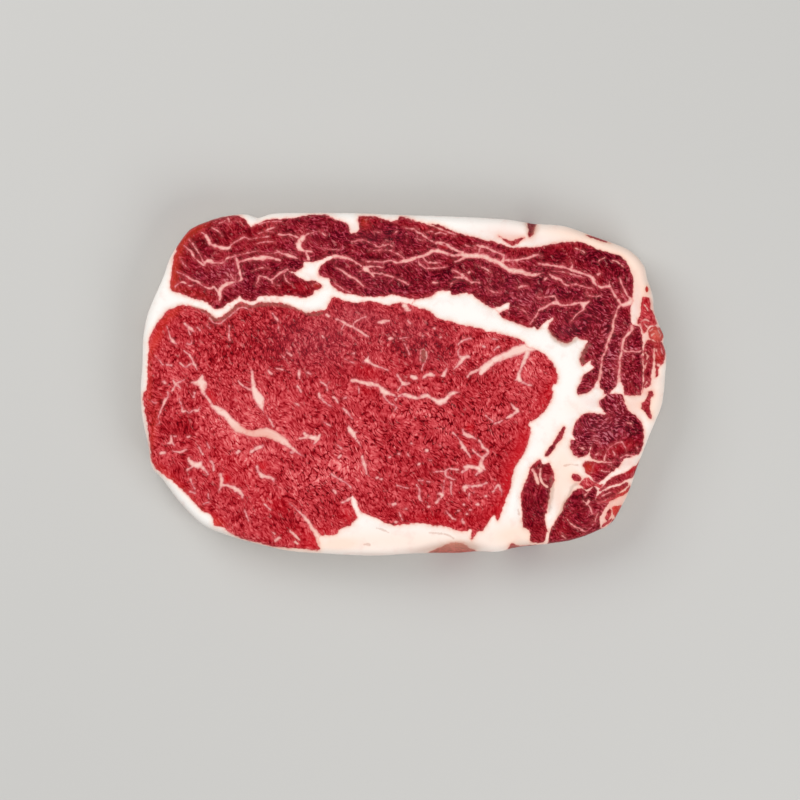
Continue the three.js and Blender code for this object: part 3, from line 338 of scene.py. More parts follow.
eyeStreaks = [
    [(46.5, 13.4, 3.2), (42, 12.3, 3), (39, 11.3, 2.8), (36, 10, 2.3), (33, 8.8, 2.1), (31, 7.7, 2.1),
     (29, 6.2, 2.4), (27.5, 4.8, 2.3), (26.8, 3.5, 1.2)],
    [(26.8, 5.2, 0.9), (24.5, 4.3, 1.2), (23.3, 3.5, 1.1), (22.4, 2.4, 0.5)],
    [(43.8, 12.2, 2.2), (42.5, 9.5, 1.7), (41.5, 7, 1.2), (40.3, 4, 0.9), (40, 2, 1.7), (41.5, 0.5, 0.8),
     (43, -0.3, 0.7), (44.5, -0.5, 0.5)],
    [(40, 2, 1.2), (38.7, 1.2, 0.6)],
    [(-39, -41.5, 0.4), (-37, -43, 0.5), (-35, -45, 0.7), (-33.5, -46.8, 1), (-32, -48.8, 1.2),
     (-30.5, -51, 1.5), (-29, -53.2, 1.9), (-28.3, -55.5, 1.8)],
    [(-21, -41, 0.4), (-19.5, -40.3, 0.6), (-17.8, -39.6, 0.7)],
    [(-69.5, 25, 0.3), (-67, 23, 0.4), (-65, 20.9, 0.5), (-63.5, 20.9, 0.5), (-61, 22.5, 0.4),
     (-58, 25, 0.4), (-55.7, 26.5, 0.4), (-52, 25.2, 0.3)],
    [(-81.5, 19.7, 0.4), (-80.3, 16, 0.6), (-79.2, 14.3, 1.2), (-78.2, 13.9, 0.6)],
    [(-75.5, 21, 0.5), (-74.5, 19.8, 0.9), (-73, 18.7, 1.1), (-72.3, 18.2, 0.5)],
    [(-74.3, 18.8, 0.6), (-73.5, 17, 0.4)], [(-71, 19.5, 0.5), (-70.3, 18.6, 0.7)],
    [(-68, 20.5, 0.4), (-66.5, 19.2, 0.5)], [(-60, 20, 0.4), (-60, 16, 0.6), (-59.7, 15.2, 0.8)],
    [(-74.5, 13.9, 0.7), (-73.3, 13.8, 0.7), (-72.8, 15, 0.5)],
    [(-75.5, 11.3, 0.5), (-73.5, 9.5, 0.9), (-72.8, 8, 0.7), (-71.2, 4.9, 0.5)],
    [(-77, 7.2, 0.5), (-75, 5.8, 0.5), (-73.2, 7, 0.5)], [(-85, 9, 0.4), (-83, 6.6, 0.5)],
    [(-81.5, 6.5, 0.8), (-80, 6.4, 0.7)], [(-82.6, 0.7, 1), (-82.3, 0.2, 1)],
    [(-79.3, 1, 0.7), (-78.7, -0.1, 0.9), (-77.5, -0.6, 0.8), (-76.8, -1.7, 0.6)],
    [(-78.5, 0, 0.6), (-75.5, 1.5, 0.4)], [(-78.8, -0.8, 0.6), (-79.5, -2.2, 0.5)],
    [(-72.8, 0.3, 0.9), (-71, 0.2, 1.8), (-69.5, 0, 2.9), (-69, -1.5, 2.3), (-69.3, -3, 0.8)],
    [(-69.6, 0.4, 2.2), (-69.4, 2, 1.7), (-69.2, 3, 0.8)],
    [(-69, -2.4, 1.5), (-68, -4.3, 1), (-66.8, -6, 0.8), (-65.6, -7.8, 1.1)],
    [(-66.5, -7.5, 0.8), (-65, -8.2, 1.8), (-63, -9.5, 2.1), (-61, -11, 2), (-59.5, -12.8, 2.4),
     (-58, -14.3, 2.8), (-56.5, -15.7, 2.4), (-54, -16.8, 1.7), (-51.5, -17.2, 1.9), (-49, -16.8, 2.6),
     (-47, -16.8, 2.8), (-45, -17.5, 2.8), (-43, -18.6, 2.6), (-41, -20, 2.2), (-39.5, -21, 1.4),
     (-38, -22.2, 1), (-36.5, -23.7, 0.6), (-34.8, -24.8, 0.3)],
    [(-52.3, 4.5, 0.8), (-52, 2, 1.2), (-51.8, 0, 1.4), (-51.3, -2, 2), (-50.3, -4, 2.8),
     (-49.5, -5.5, 3), (-49, -7, 2.2), (-48.3, -9, 0.8), (-48, -10, 0.4)],
    [(-56.8, 1, 0.5), (-55.5, -0.3, 0.7), (-52.5, -2.3, 0.8)],
    [(-47, -11, 0.5), (-45.4, -13.3, 0.6), (-44.8, -14.8, 0.6)],
    [(-81.2, -3, 0.5), (-81, -4.3, 0.6), (-82.2, -5.5, 1.1), (-82.8, -7, 0.8), (-84, -10.5, 0.6),
     (-84.5, -12, 0.5), (-84, -13.2, 0.4), (-85, -14.3, 0.3)],
    [(-87, -6, 0.5), (-85.5, -6.8, 0.5)],
    [(-77.3, -5, 0.5), (-76.4, -7.8, 0.5), (-76.2, -9.5, 0.6), (-75, -9.2, 0.5), (-73.8, -10, 0.5),
     (-72.5, -9.2, 0.5), (-71, -9.3, 0.5), (-70.3, -8, 0.4)],
    [(-72, -3, 0.7), (-72.2, -4.5, 0.6)], [(-74.3, -18.3, 0.8), (-73.6, -18.2, 0.8)],
    [(-78.9, -18, 0.6), (-78.3, -18.1, 0.5)],
    [(-80.2, -18, 0.5), (-80.2, -20.3, 0.9), (-81.5, -20.8, 0.5)], [(-80, -20, 0.5), (-79, -21.3, 0.4)],
    [(-83.8, -24, 1), (-82.5, -23.7, 1)], [(-79.5, -23, 0.5), (-77.5, -23.6, 0.6), (-74.8, -22.7, 0.5)],
    [(-74.3, -25.8, 0.7), (-73.5, -26.8, 1.4), (-72, -28, 1.7), (-70.5, -28, 2.1), (-69.7, -27, 0.8)],
    [(-69.8, -28.6, 1.1), (-68.2, -30, 0.8), (-67.3, -31.3, 0.5)],
    [(-72.6, -28.6, 0.9), (-74.5, -29.7, 0.7)], [(-70.5, -21.7, 0.5), (-69.3, -24.2, 0.6)],
    [(-67.8, -20.5, 0.4), (-66.8, -22.2, 0.4)],
    [(-66.8, -26.7, 0.6), (-65.8, -27.5, 0.8), (-65.3, -30, 0.7)],
    [(-63.2, -31.5, 1.1), (-62.7, -33, 1.2), (-62.8, -35, 1), (-63.3, -36.8, 0.5)],
    [(-62.5, -35, 0.9), (-59.5, -35.5, 1.2), (-58, -36.3, 1.5), (-56.8, -37, 1.4), (-55.8, -38, 0.9),
     (-55.5, -39.7, 0.5)],
    [(-73.5, -33, 0.6), (-72.5, -35.3, 0.8), (-72, -36.3, 0.7)], [(-67.3, -38, 0.4), (-66.9, -39.5, 0.5)],
    [(-67, -41, 0.5), (-69, -41.8, 0.5)], [(-73.5, -37.3, 0.7), (-72, -38, 0.7)],
    [(-54.8, -43.5, 0.5), (-53.2, -47.5, 0.5)], [(-52.5, -23.5, 0.7), (-50, -22, 1.1), (-48.5, -21.5, 1)],
    [(-50.5, -28.5, 0.8), (-49.8, -30.5, 0.9), (-48.5, -31.8, 1.4), (-46.5, -32.3, 1.2), (-45, -33, 1.1),
     (-44.5, -34.2, 0.5)],
    [(-57.3, -23.8, 1.1), (-56.7, -23.3, 1.1)],
    [(-34.2, -17, 1.1), (-33, -18, 1.3), (-31, -18.6, 1.7), (-30, -19.2, 1.8), (-30.7, -20.8, 0.7)],
    [(-35.8, -18.8, 0.7), (-33.6, -18.5, 0.9)], [(-29.6, -19, 1.2), (-28.7, -17.6, 0.6)],
    [(-18.8, -14.5, 0.6), (-18.5, -15.5, 1.2), (-17.5, -17, 1.9), (-16.5, -18.5, 1.2),
     (-14.8, -21.3, 0.4)],
    [(-17.4, -16.8, 1), (-15.9, -16.4, 0.5)], [(-23.5, -20.5, 0.4), (-20.8, -22.6, 0.4)],
    [(-25, -31, 0.6), (-23.5, -32, 0.7), (-20.5, -33.7, 0.7), (-17.8, -36, 0.6)],
    [(-14, -25, 0.7), (-13.3, -27.7, 1.2), (-12.5, -31, 0.5)], [(-24, -36.5, 0.8), (-23.2, -37.7, 0.8)],
    [(-22.4, -25.3, 1), (-21.6, -24.7, 1)], [(-9, -32.5, 0.8), (-7.5, -33, 0.8)],
    [(-39, -50.8, 0.6), (-36.8, -53, 0.7), (-36, -54, 0.6)], [(-44, -54.2, 0.8), (-42.8, -53.3, 0.8)],
    [(-45.3, -51, 0.4), (-44.2, -52, 0.4)], [(-37.5, -54.5, 0.5), (-36.5, -55.3, 0.5)],
    [(-48, -41.5, 0.5), (-45.7, -43.5, 0.6)], [(-38.4, -23.8, 1), (-37.5, -23.2, 1)],
    [(-23, 22.3, 0.6), (-21, 21.5, 0.7), (-18, 20, 0.8), (-15.5, 18.4, 0.8), (-13, 16.7, 0.8),
     (-12, 16.3, 0.5)],
    [(-17.3, 20, 0.6), (-16.8, 21.2, 0.5), (-14, 22.8, 0.5), (-12.7, 23.2, 0.5)],
    [(-20.3, 21, 0.5), (-21.5, 18.7, 0.4)], [(-26.4, 23.8, 1), (-25.6, 23.2, 1)],
    [(-8.5, 21.2, 0.8), (-7, 21.5, 1.4), (-5.5, 21.8, 0.9), (-4.7, 21.9, 0.4)],
    [(-4.7, 15.6, 0.8), (-4.2, 15.4, 0.8)], [(-45, 24.3, 0.5), (-43.2, 21.8, 0.7)],
    [(-43, 19.8, 0.5), (-43, 19.2, 0.5)], [(-28, 16.7, 0.6), (-27.2, 15.8, 0.6)],
    [(-20, 8.5, 0.5), (-17, 7, 0.6)],
    [(-13.7, 7.7, 0.8), (-12.3, 8, 1.7), (-11, 7, 0.8), (-8, 5.7, 0.6), (-5, 4.7, 0.5)],
    [(-12.2, 8.2, 1), (-11.9, 9.6, 0.5)],
    [(-17.5, 1.3, 1.1), (-15.5, 1, 1.1), (-13.5, 0.4, 1.2), (-11.5, 0, 1.7), (-9.7, -0.3, 1.5),
     (-8.5, -0.7, 1.1), (-7.3, -2, 1.8), (-6.5, -2.8, 2), (-5, -3.3, 1.3), (-3.5, -4, 0.7),
     (-2.5, -4.4, 0.4)],
    [(-7.4, -2.6, 0.7), (-5.8, -5.5, 0.6), (-3.2, -7.3, 0.5), (-2.3, -8, 0.6), (-3, -9.5, 0.4)],
    [(-46.5, 4.5, 0.8), (-45.5, 3.6, 0.9)], [(-43.5, 5.3, 0.6), (-41.5, 5, 0.6)],
    [(-36, 4.5, 0.9), (-36, 2.8, 1.2), (-35.8, 2, 0.7)], [(-33, 4, 0.7), (-32, 3.5, 0.7)],
    [(-39.8, 10.7, 0.6), (-38.5, 9.8, 0.8)], [(-42, 9.8, 0.4), (-41, 9, 0.4)],
    [(-36.5, -0.7, 0.7), (-35.3, -2.8, 0.7)], [(-28.3, 0.6, 0.6), (-26.5, -0.6, 0.7), (-26.2, -2.5, 0.5)],
    [(-26.3, -0.5, 0.5), (-25.6, 0.6, 0.4)],
    [(-29, -3.5, 0.7), (-28.5, -5, 0.9), (-26.3, -6.8, 0.7), (-25, -7.7, 0.6)],
    [(-24, -4.5, 0.8), (-23.2, -5.3, 0.9), (-22.5, -6.5, 0.6)], [(-20.3, -5.1, 0.8), (-19.7, -4.9, 0.8)],
    [(-20.5, -8.7, 0.7), (-19.3, -10, 0.9), (-17.3, -12, 0.4)], [(-37, -6.7, 0.6), (-36, -7.7, 0.6)],
    [(-28, -13, 0.4), (-25, -14.6, 0.4)], [(-15.5, -1, 0.5), (-15, -3, 0.5)],
    [(-17.5, 10.5, 0.7), (-17, 10.4, 0.7)],
    [(22.4, 9.3, 1), (21, 8.8, 1.3), (20.3, 8, 1.2), (19.3, 6.8, 1), (18.3, 5.8, 0.8), (17.5, 5.2, 0.5)],
    [(20.4, 8.8, 1), (19.3, 10, 0.7), (19, 11.2, 0.5), (19.5, 12.3, 0.4)],
    [(19, 13.5, 0.4), (20.3, 14.7, 0.7), (23.3, 15.7, 0.7)],
    [(15, 5, 0.7), (14.3, 4, 1.1), (14, 3, 1.3), (13, 2.8, 0.7)],
    [(10.5, 3, 0.9), (9.3, 3.4, 1.3), (8, 2.9, 1), (7, 2, 0.6)],
    [(3, 2.6, 1.2), (4.3, 2.2, 1.5), (5.3, 1.8, 0.6)],
    [(-2, 3.2, 0.7), (-0.3, 0.8, 0.9), (0.3, 0.1, 1.6), (2, 0.2, 0.7)],
    [(-1.8, -2.6, 0.6), (-1, -1.3, 0.8), (0.2, 0, 1.1)],
    [(-1.5, -4.3, 0.6), (0, -3.9, 1), (1.5, -4, 1.3), (3.5, -4.6, 1.3), (5.5, -4.9, 1), (7, -4.4, 1.3),
     (8.2, -4, 1.5), (9.5, -4.8, 1), (11, -5.6, 1.2), (12.5, -6.2, 1.9), (14, -6, 1.9), (15.2, -4.8, 1.4),
     (16.3, -3.5, 1.4), (18, -3, 1.2), (19.5, -2.8, 0.5)],
    [(-2.7, -5.4, 0.8), (-2.3, -5.1, 0.8)], [(6.8, 6.8, 0.4), (6.5, 4.7, 0.4)],
    [(6.1, 11.6, 0.35), (7, 12.2, 0.35), (7.9, 11.3, 0.35), (8.2, 9.5, 0.35), (7.8, 7.8, 0.35),
     (7, 6.8, 0.35), (6.2, 7.8, 0.35), (5.9, 9.8, 0.35), (6.1, 11.6, 0.35)],
    [(0.5, 13.8, 0.4), (2.3, 10, 0.5)], [(-4.2, 15.8, 0.9), (-3.8, 15.6, 0.9)],
    [(-1, 15.7, 0.4), (2, 16.2, 0.4)], [(1.5, 21.8, 0.8), (2.5, 20.8, 0.8)],
    [(0.5, 27, 1.8), (1.5, 25.8, 1.7), (2.5, 25.5, 1)], [(31.5, 11.7, 0.6), (33, 12.8, 0.6)],
    [(30.5, 15.4, 0.5), (33, 15.4, 0.4)],
    [(37.5, -7, 0.6), (38.5, -8.5, 0.9), (39.5, -9.3, 1.3), (38.3, -10.3, 1), (37, -11.3, 1.1),
     (36, -11.8, 0.7)],
    [(34.2, -12.5, 0.7), (31.8, -13.7, 0.8)], [(28.5, -11, 0.4), (31, -13, 0.5)],
    [(20.5, -15.8, 0.6), (21.3, -17, 1), (22.7, -17.8, 1.2), (24.3, -18.5, 0.9), (25.3, -19, 0.5)],
    [(17.3, -17, 0.5), (19.7, -19.8, 0.7), (20.5, -21.5, 1), (21.5, -23, 1), (23.5, -25.3, 0.5)],
    [(26.3, -19.5, 0.6), (27.8, -22, 0.8), (29, -23, 0.9), (29.3, -24, 0.9), (28.3, -25, 0.9),
     (27.3, -26, 1), (27, -27.5, 1.2), (27.3, -28.8, 1.8), (28.3, -29.5, 0.9)],
    [(21.5, -28.8, 1.4), (23.5, -28.5, 1.3), (25.5, -29, 1.3), (27, -29.2, 1.9), (25.2, -31.4, 0.7)],
    [(24, -22.5, 0.5), (26.3, -25, 0.6), (27.3, -25.7, 0.6)], [(20.2, -30.5, 0.7), (22, -29.3, 0.9)],
    [(10.5, -30.4, 0.5), (14.5, -30.5, 0.7), (14.8, -31.8, 0.9), (17.8, -33.2, 0.5)],
    [(14.7, -30, 0.7), (15.7, -29.3, 0.6), (19, -29.7, 0.6)], [(5.5, -33.5, 0.5), (7, -33.3, 0.5)],
    [(8.3, -33.5, 0.5), (9.3, -33.9, 0.5)],
    [(4.7, -35, 0.5), (5.5, -36.3, 0.7), (5.7, -39.5, 0.8), (6.3, -40.5, 0.6)],
    [(-2, -35.2, 0.5), (1.8, -36, 0.5)], [(12.5, -37.8, 1), (13.5, -38.5, 1.1), (11.5, -41, 0.6)],
    [(14.3, -33.5, 0.5), (13.7, -37.5, 0.6)], [(16.7, -34, 0.5), (16.5, -36, 0.6), (16.8, -38, 0.5)],
    [(21.3, -37, 0.7), (21.3, -35.7, 1.3), (23, -35.3, 0.8), (27, -35, 0.9), (29, -34.2, 0.7)],
    [(24, -35.8, 0.5), (24.4, -37.5, 0.5)], [(22.7, -37.7, 0.5), (22.8, -39.7, 0.5)],
    [(31, -37.3, 0.4), (33, -35, 0.9), (34, -37, 0.6), (34, -38.2, 0.5)],
    [(15, -44, 0.4), (17, -46.5, 0.6), (18, -46.8, 0.5)], [(20.5, -47, 0.9), (21, -48, 0.9)],
    [(-3.3, -41.6, 1.1), (-2.7, -41.4, 1)], [(-1.5, -44.3, 0.4), (-0.3, -47, 0.5)],
    [(7.8, -23, 0.9), (8.3, -23, 0.9)], [(1.5, -24, 0.4), (2.3, -25, 0.5)],
]
eyeFlecks = [  # specks of fat: place of the middle, and width
    (11, 19, 0.6), (6.8, 16.5, 0.5), (12.8, 16, 0.7), (28, 12.9, 0.8), (25.7, -41.5, 0.9),
    (21, -41.8, 0.6), (19.2, -43.8, 0.7), (23.2, -43.5, 0.6), (22.3, -45, 0.6), (28.5, -38.7, 0.7),
    (9, -42.4, 0.7), (9, -39, 0.5), (1.2, -43, 0.8), (-2.3, -47.7, 0.7), (-4.5, -25.3, 0.7),
    (-1.5, -24.3, 0.7), (13, -21.3, 0.5), (9.3, -26.4, 0.5), (5.5, -27.7, 0.8), (3, -20.5, 0.5)]

# other lines: grey-brown skin between muscle and seam, and dark lines painted in the fat as the shade of its
# creases and knife marks
silverLines = [
    [(-73, 26.8, 0.3), (-70, 25.7, 0.5), (-67, 24, 0.8), (-64.7, 22.2, 1), (-62.5, 22.6, 0.9),
     (-59.5, 25, 0.9), (-56.3, 27.5, 0.8), (-53.5, 27, 0.7), (-51, 26.9, 0.8), (-48, 27.4, 0.9),
     (-44, 27.4, 1), (-40, 27, 0.8), (-36.5, 25.8, 0.5), (-33.5, 24.5, 0.5), (-30.5, 23.8, 0.9),
     (-28, 24.4, 0.4)],
    [(51.2, -32, 0.5), (51.5, -35, 1.2), (51.2, -38.5, 1.4), (50.8, -42, 0.9), (50.4, -44, 0.4)],
    [(50.2, 18.2, 0.5), (51.2, 17.3, 1), (52.5, 15.6, 1.3), (54, 14.6, 1), (56.5, 13.6, 1.3),
     (59, 14.8, 1.2), (60.3, 15.8, 0.6)],
    [(64.5, 13.5, 0.6), (62.3, 10.5, 1.2), (62, 8.3, 1.2), (62.8, 7, 0.6)],
    [(53.6, -46, 0.4), (54.8, -43.4, 0.6), (56.3, -40.6, 0.6), (57.6, -37.8, 0.6), (58.8, -35.3, 0.8),
     (60, -34.6, 0.5)],
    [(7.1, 11.6, 1), (7.1, 10, 1.7), (7.1, 8.2, 1.1)],
]
creaseShadeLines = [
    [(-9, -49.8, 0.4), (-7, -50.5, 0.5), (-5, -51.5, 0.3)], [(-13.5, -55.6, 0.4), (-11.5, -55.6, 0.4)],
    [(9, -51.5, 0.3), (13, -51.7, 0.45), (16, -52.5, 0.4), (17.5, -53.3, 0.3)],
    [(55.7, -28.2, 0.3), (58, -28, 0.5), (60.3, -28.2, 0.3)], [(39.8, -43.4, 0.5), (40.1, -45, 0.6)],
]

# soft patches of colour: (x, y, half length, half width, turn in degrees, strength)
patches = {
    "light": [  # paler, pinker lean
        (-58, -18, 16, 9, -35, 0.8), (-52, -8, 10, 6, 0, 0.4), (-18, -27, 12, 7, 0, 0.7),
        (-18, -45, 2, 5, 0, 0.4), (8, -11, 14, 5, 0, 0.35), (47, 5, 5, 5, 0, 0.35),
        (46, -6, 4, 4, 0, 0.25), (-35, -34, 7, 8, 0, 0.25), (42, 9, 7, 3, 30, 0.8),
        (28, 14, 6, 4, 0, 0.5), (-60, 37, 6, 5, 0, 1), (-33, 50, 6, 4, 0, 0.4), (35, 43, 8, 3, -20, 0.8),
        (74, 6, 4, 8, 0, 0.7), (68, -17, 6, 6, 0, 0.5), (65, -34.4, 4, 1.6, -15, 1.1),
        (42, 30, 6, 4, 0, 0.5), (-50, 56, 6, 2, 0, 0.6)],
    "grain": [  # where purple lean shows more pale grain
        (73, 12, 7, 16, 0, 1), (66, 20, 8, 6, 0, 0.6), (70, -15, 9, 8, 0, 0.7), (0, 35, 10, 5, 0, 0.5)],
    "deep": [  # darker lean
        (-75, -14, 9, 8, 0, 0.7), (-62, 12, 9, 7, 0, 0.4), (-45, 16, 8, 8, 0, 0.55),
        (-60, 22, 6, 4, 0, 0.4), (3, 12, 8, 6, 0, 0.6), (11, -45, 21, 4, -2, 0.5),
        (-24.5, -45, 4, 7, 0, 0.35), (35.5, -34, 3, 9, 15, 0.55), (-83, 1, 3, 6, 0, 0.3),
        (17, -46, 7, 3.5, 0, 0.25), (-48, 49, 6, 4, 0, 0.4), (-12, 35, 7, 3, 0, 0.3),
        (70, 24, 5, 6, 0, 0.25), (22, -18, 10, 5, -50, 0.3), (33, -24, 5, 4, 0, 0.6),
        (8, -30, 14, 4, 0, 0.35), (-40, -43, 5, 6, 0, 0.5), (-38, 33, 7, 3, 5, 1),
        (-40, 41, 8, 2, 0, 0.5), (4, 36, 8, 4, 0, 0.8), (20, 38, 8, 5, -20, 0.6),
        (-8, 50.5, 10, 3, 0, 0.8), (52, 45, 12, 3, 0, 0.9), (72, 41, 6, 4, -40, 0.8),
        (80, -18, 3, 7, 0, 1), (45, -42, 4, 8, 0, 0.5), (82, 8, 3, 4, 0, 0.5), (-70, 47, 5, 4, 0, 0.4),
        (60, 20, 5, 4, 0, 0.4), (59, -45, 6, 8, 0, 0.4)],
    "blush": [  # vivid red, wet lean
        (-67.5, -3.3, 1.6, 1.2, 0, 1), (-66, -5.5, 1.4, 1.6, 0, 1), (-61, -33, 1.2, 1.8, 0, 1),
        (-48.5, -28.5, 1.8, 1.6, 0, 0.9), (23, -15, 1.6, 1.4, 0, 0.9), (-30, -54, 6, 3, 40, 0.9),
        (-18, -46, 3, 4, 60, 0.8), (34, -44, 8, 3, 65, 0.7), (12, -47, 14, 2, -5, 0.5),
        (-44, -42, 3, 6, 80, 0.4), (-65, -47, 4, 2, -40, 0.6), (-84, 18, 8, 2, 60, 0.6),
        (-80, -33, 12, 2.5, -42, 0.5), (50.5, -3, 9, 2, 65, 0.8), (40, -26, 13, 3.2, 74, 1),
        (66, -29, 5, 2.5, 0, 0.6), (79.5, -29, 3.5, 1.6, 35, 1), (-35, 33, 5, 2, 0, 0.25),
        (55, 47, 12, 1.2, 2, 0.2), (10, 53.5, 14, 1.2, -12, 0.2), (14.3, 47.4, 2, 0.7, -15, 0.8),
        (86, 27, 3, 7, 80, 0.5), (-38, -52, 8, 3, 0, 0.4), (-48, 49, 6, 4, 0, 0.15),
        (28, -44.5, 6, 4, 0, 0.35), (36, -33, 7, 3, 75, 0.4), (75, -22, 8, 2, 20, 0.5),
        (-12, 4, 4, 2, -20, 0.5), (-13, -2.5, 3, 1.5, -20, 0.5), (20.5, -20, 3, 1.5, -55, 0.5),
        (25, -27, 3, 2, 0, 0.5), (-58, -30, 14, 8, -30, 0.25)],
    "orange": [  # orange-red lean beside the left rim and at the far right
        (-86, 14, 7, 1.6, 65, 0.8), (-80, 24, 5, 1.4, 40, 0.8), (-88, 0, 10, 1.2, 90, 0.7),
        (-87, -20, 12, 1.3, 80, 0.6), (-77, -37, 14, 1.5, -45, 0.6), (-79.4, 37.5, 7, 2, 88, 1.2),
        (-77.6, 47.5, 6, 2, 65, 1.2), (-71.5, 53.6, 6, 1.8, 33, 1), (-65, -48, 3, 1.4, -20, 1),
        (88, 17.3, 3, 2.6, 0, 1.2), (64, -29, 1.6, 2.2, 0, 0.9), (-74, 31.5, 8, 1.4, -15, 0.4),
        (-29.5, 34.2, 1.6, 1, 0, 0.9), (-13.4, 56, 1.5, 1.8, 0, 0.8), (84.3, 32.5, 1, 1, 0, 1.2),
        (73.8, -43.6, 1.6, 2.2, 0, 1.2), (76.6, -37.4, 1.4, 1.2, 0, 1), (89, 9, 3, 2, 90, 0.6),
        (75, -41, 4, 2, 60, 0.9), (85, 33, 3, 1.4, -65, 0.6)],
    "ruddy": [  # where purple lean turns red
        (-52, 53, 16, 4.5, 5, 1), (-70, 31, 9, 3, -15, 1), (-76, 44, 5, 9, 0, 0.8),
        (-38, 32.5, 9, 2.5, 0, 0.9), (-60, 46, 12, 5, 0, 0.5), (-12, 55, 5, 2.5, 0, 0.8),
        (10, 53.5, 16, 1.6, -10, 0.8), (22, 48, 8, 2, -15, 0.6), (42, 45, 8, 2, -3, 0.8),
        (60, 47.5, 10, 1.4, -2, 0.6), (38, 40.5, 6, 1.5, -10, 0.7), (37, 22, 6, 1.5, -20, 0.8),
        (60, 41, 2.5, 1.5, 0, 0.9), (68.5, 35.5, 2, 1.3, 0, 0.9), (77.3, 24, 1.6, 2, 0, 0.9),
        (80, -2, 3, 2, 0, 0.8), (75, -24, 7, 2, 15, 0.8), (54, -51, 4, 4, 0, 0.7),
        (62, -52.3, 5, 1, -20, 0.9), (47, -29, 3, 2.5, 0, 0.5), (46, -52, 3, 4, 0, 0.8),
        (58.5, -23.5, 2, 2, 0, 0.6), (-20, 31, 8, 1.2, -10, 0.6), (5, 30.5, 10, 1, 0, 0.7),
        (30, 29, 6, 1, -25, 0.6)],
    "dull": [  # greyer, purplish lean
        (-30, 15, 18, 10, 0, 0.9), (-15, 24.5, 9, 4, -10, 0.8), (5, 18, 14, 7, -10, 0.7),
        (10, 9, 12, 4, -10, 0.4), (40, 32, 20, 6, -5, 0.35), (72, 14, 3, 10, 0, 0.3),
        (62, 22, 8, 6, 0, 0.4), (56, 18, 4, 2, 40, 0.7), (70, -15, 8, 7, 0, 0.6), (-8, 36, 12, 5, 0, 0.3),
        (-8, 51, 10, 3, 0, 0.5)],
    "wrinkle": [  # where the cut surface is wrinkled across; the shade in its wrinkles is painted there
        (-29, -33, 10, 12, -60, 1), (10, -15, 14, 9, -40, 0.9), (31, -14, 8, 6, -50, 0.8),
        (-10, -20, 12, 8, -40, 0.7), (-60, -25, 10, 6, -50, 0.4), (25, -8, 14, 5, 0, 0.5)],
    "crackle": [  # where the blade dragged and the fibres stand upright
        (-42, 14, 24, 13, 0, 1), (0, 15, 24, 9, -5, 0.9), (28, 5, 14, 10, 0, 0.6),
        (-70, 5, 14, 18, 0, 0.5)],
    "tan": [  # brownish, half dried
        (13, -57.6, 10, 1.8, 4, 1.4), (20, -56.4, 6, 2.2, 0, 1.4), (42, -56.6, 6, 1.2, 0, 0.7),
        (88.2, 17.3, 2.6, 2.4, 0, 0.3), (46, 53, 2.2, 1, 70, 0.8), (-10, -58.8, 8, 0.5, 0, 0.6)],
    "pink": [  # fat with blood in it
        (84.5, -3, 2, 1.5, 0, 1), (80, -7, 4, 3, -20, 0.5), (86.9, 3, 5, 0.7, 90, 0.7),
        (75, -40, 5, 3, 60, 1), (77.5, -35.5, 2, 1.5, 40, 0.9), (71.5, -46.5, 4.5, 3.2, 55, 1.5),
        (74.4, -40.5, 3, 2, 50, 0.8), (62, -34.5, 4, 1.5, -10, 0.9), (67.5, -26.5, 2.5, 0.8, 0, 1),
        (40, 50.5, 8, 1.5, -5, 0.7), (33, 52, 8, 3, 0, 0.3), (66, -6.5, 4, 2, -10, 0.5),
        (80.8, 27, 8, 1.6, 88, 0.8), (84, 10, 9, 1.6, 90, 0.9), (87.2, 10, 6, 1, 90, 0.9),
        (86.5, 17, 3, 2.5, 0, 0.9), (-50, -17, 9, 2, -12, 1.3), (54, -41, 2.5, 6, 20, 0.3),
        (64.8, -25, 1, 1.5, 0, 0.8), (76, 5, 1, 9, -5, 0.6), (68, 3, 1, 8, 8, 0.6),
        (84.5, 31, 1.5, 1.5, 0, 0.6), (78, -27.5, 4, 1.5, 25, 0.8), (86.4, 27, 1, 2, 0, 1),
        (-17, 54, 1.6, 2.5, 0, 0.4), (-28, 38, 4, 2, 30, 0.4), (72, 15, 1, 9, -10, 0.6)],
    "cream": [  # warmer, yellower fat
        (88, -6, 12, 4, 80, 0.8), (80, -7, 5, 4, -20, 0.8), (77, -42, 8, 4, 60, 0.9),
        (82, 41, 8, 4, -60, 1), (84, 30, 8, 2, 85, 0.6), (60, 51.5, 16, 4, -10, 1),
        (73, 47.5, 10, 3.5, -28, 1), (0, -54.5, 40, 5, 0, 0.7), (-22, -55.3, 6, 2, 0, 0.8),
        (60, -8, 4, 3, 0, 0.4), (82.5, 35, 3, 5, 0, 0.8), (40, -52, 10, 5, 0, 0.9),
        (34, 53.5, 14, 3.4, -6, 0.15), (-40, -57.5, 12, 1.5, 3, 0.6), (56, -30, 6, 12, 10, 0.9),
        (54, -41, 3, 6, 20, 0.5), (8, 54.8, 6, 1.6, -5, 0.5), (45, -33, 3, 8, 75, 0.5)],
}


def smoothLine(drawn, closed, step, leastKnot=1e-3):  # evenly spaced points on the curve through some points
    p = np.array(drawn, float)
    ends = (p[-1:], p[:2]) if closed else (2 * p[:1] - p[1:2], 2 * p[-1:] - p[-2:-1])
    p = np.concatenate([ends[0], p, ends[1]])
    out = []
    for a, b, c, d in zip(p[:-3], p[1:-2], p[2:-1], p[3:]):
        spans = [max(np.linalg.norm(v[:2]) ** 0.5, leastKnot) for v in (b - a, c - b, d - c)]
        knots = np.cumsum([0] + spans)
        count = max(1, math.ceil(np.linalg.norm((c - b)[:2]) / step))
        t = knots[1] + (knots[2] - knots[1]) * np.arange(count)[:, None] / count

        def blend(u, v, i, j):
            return (u * (knots[j] - t) + v * (t - knots[i])) / (knots[j] - knots[i])
        ab, bc, cd = blend(a, b, 0, 1), blend(b, c, 1, 2), blend(c, d, 2, 3)
        out.append(blend(blend(ab, bc, 0, 2), blend(bc, cd, 1, 3), 1, 2))
    if not closed:
        out.append(p[-2:-1])
    return np.concatenate(out)


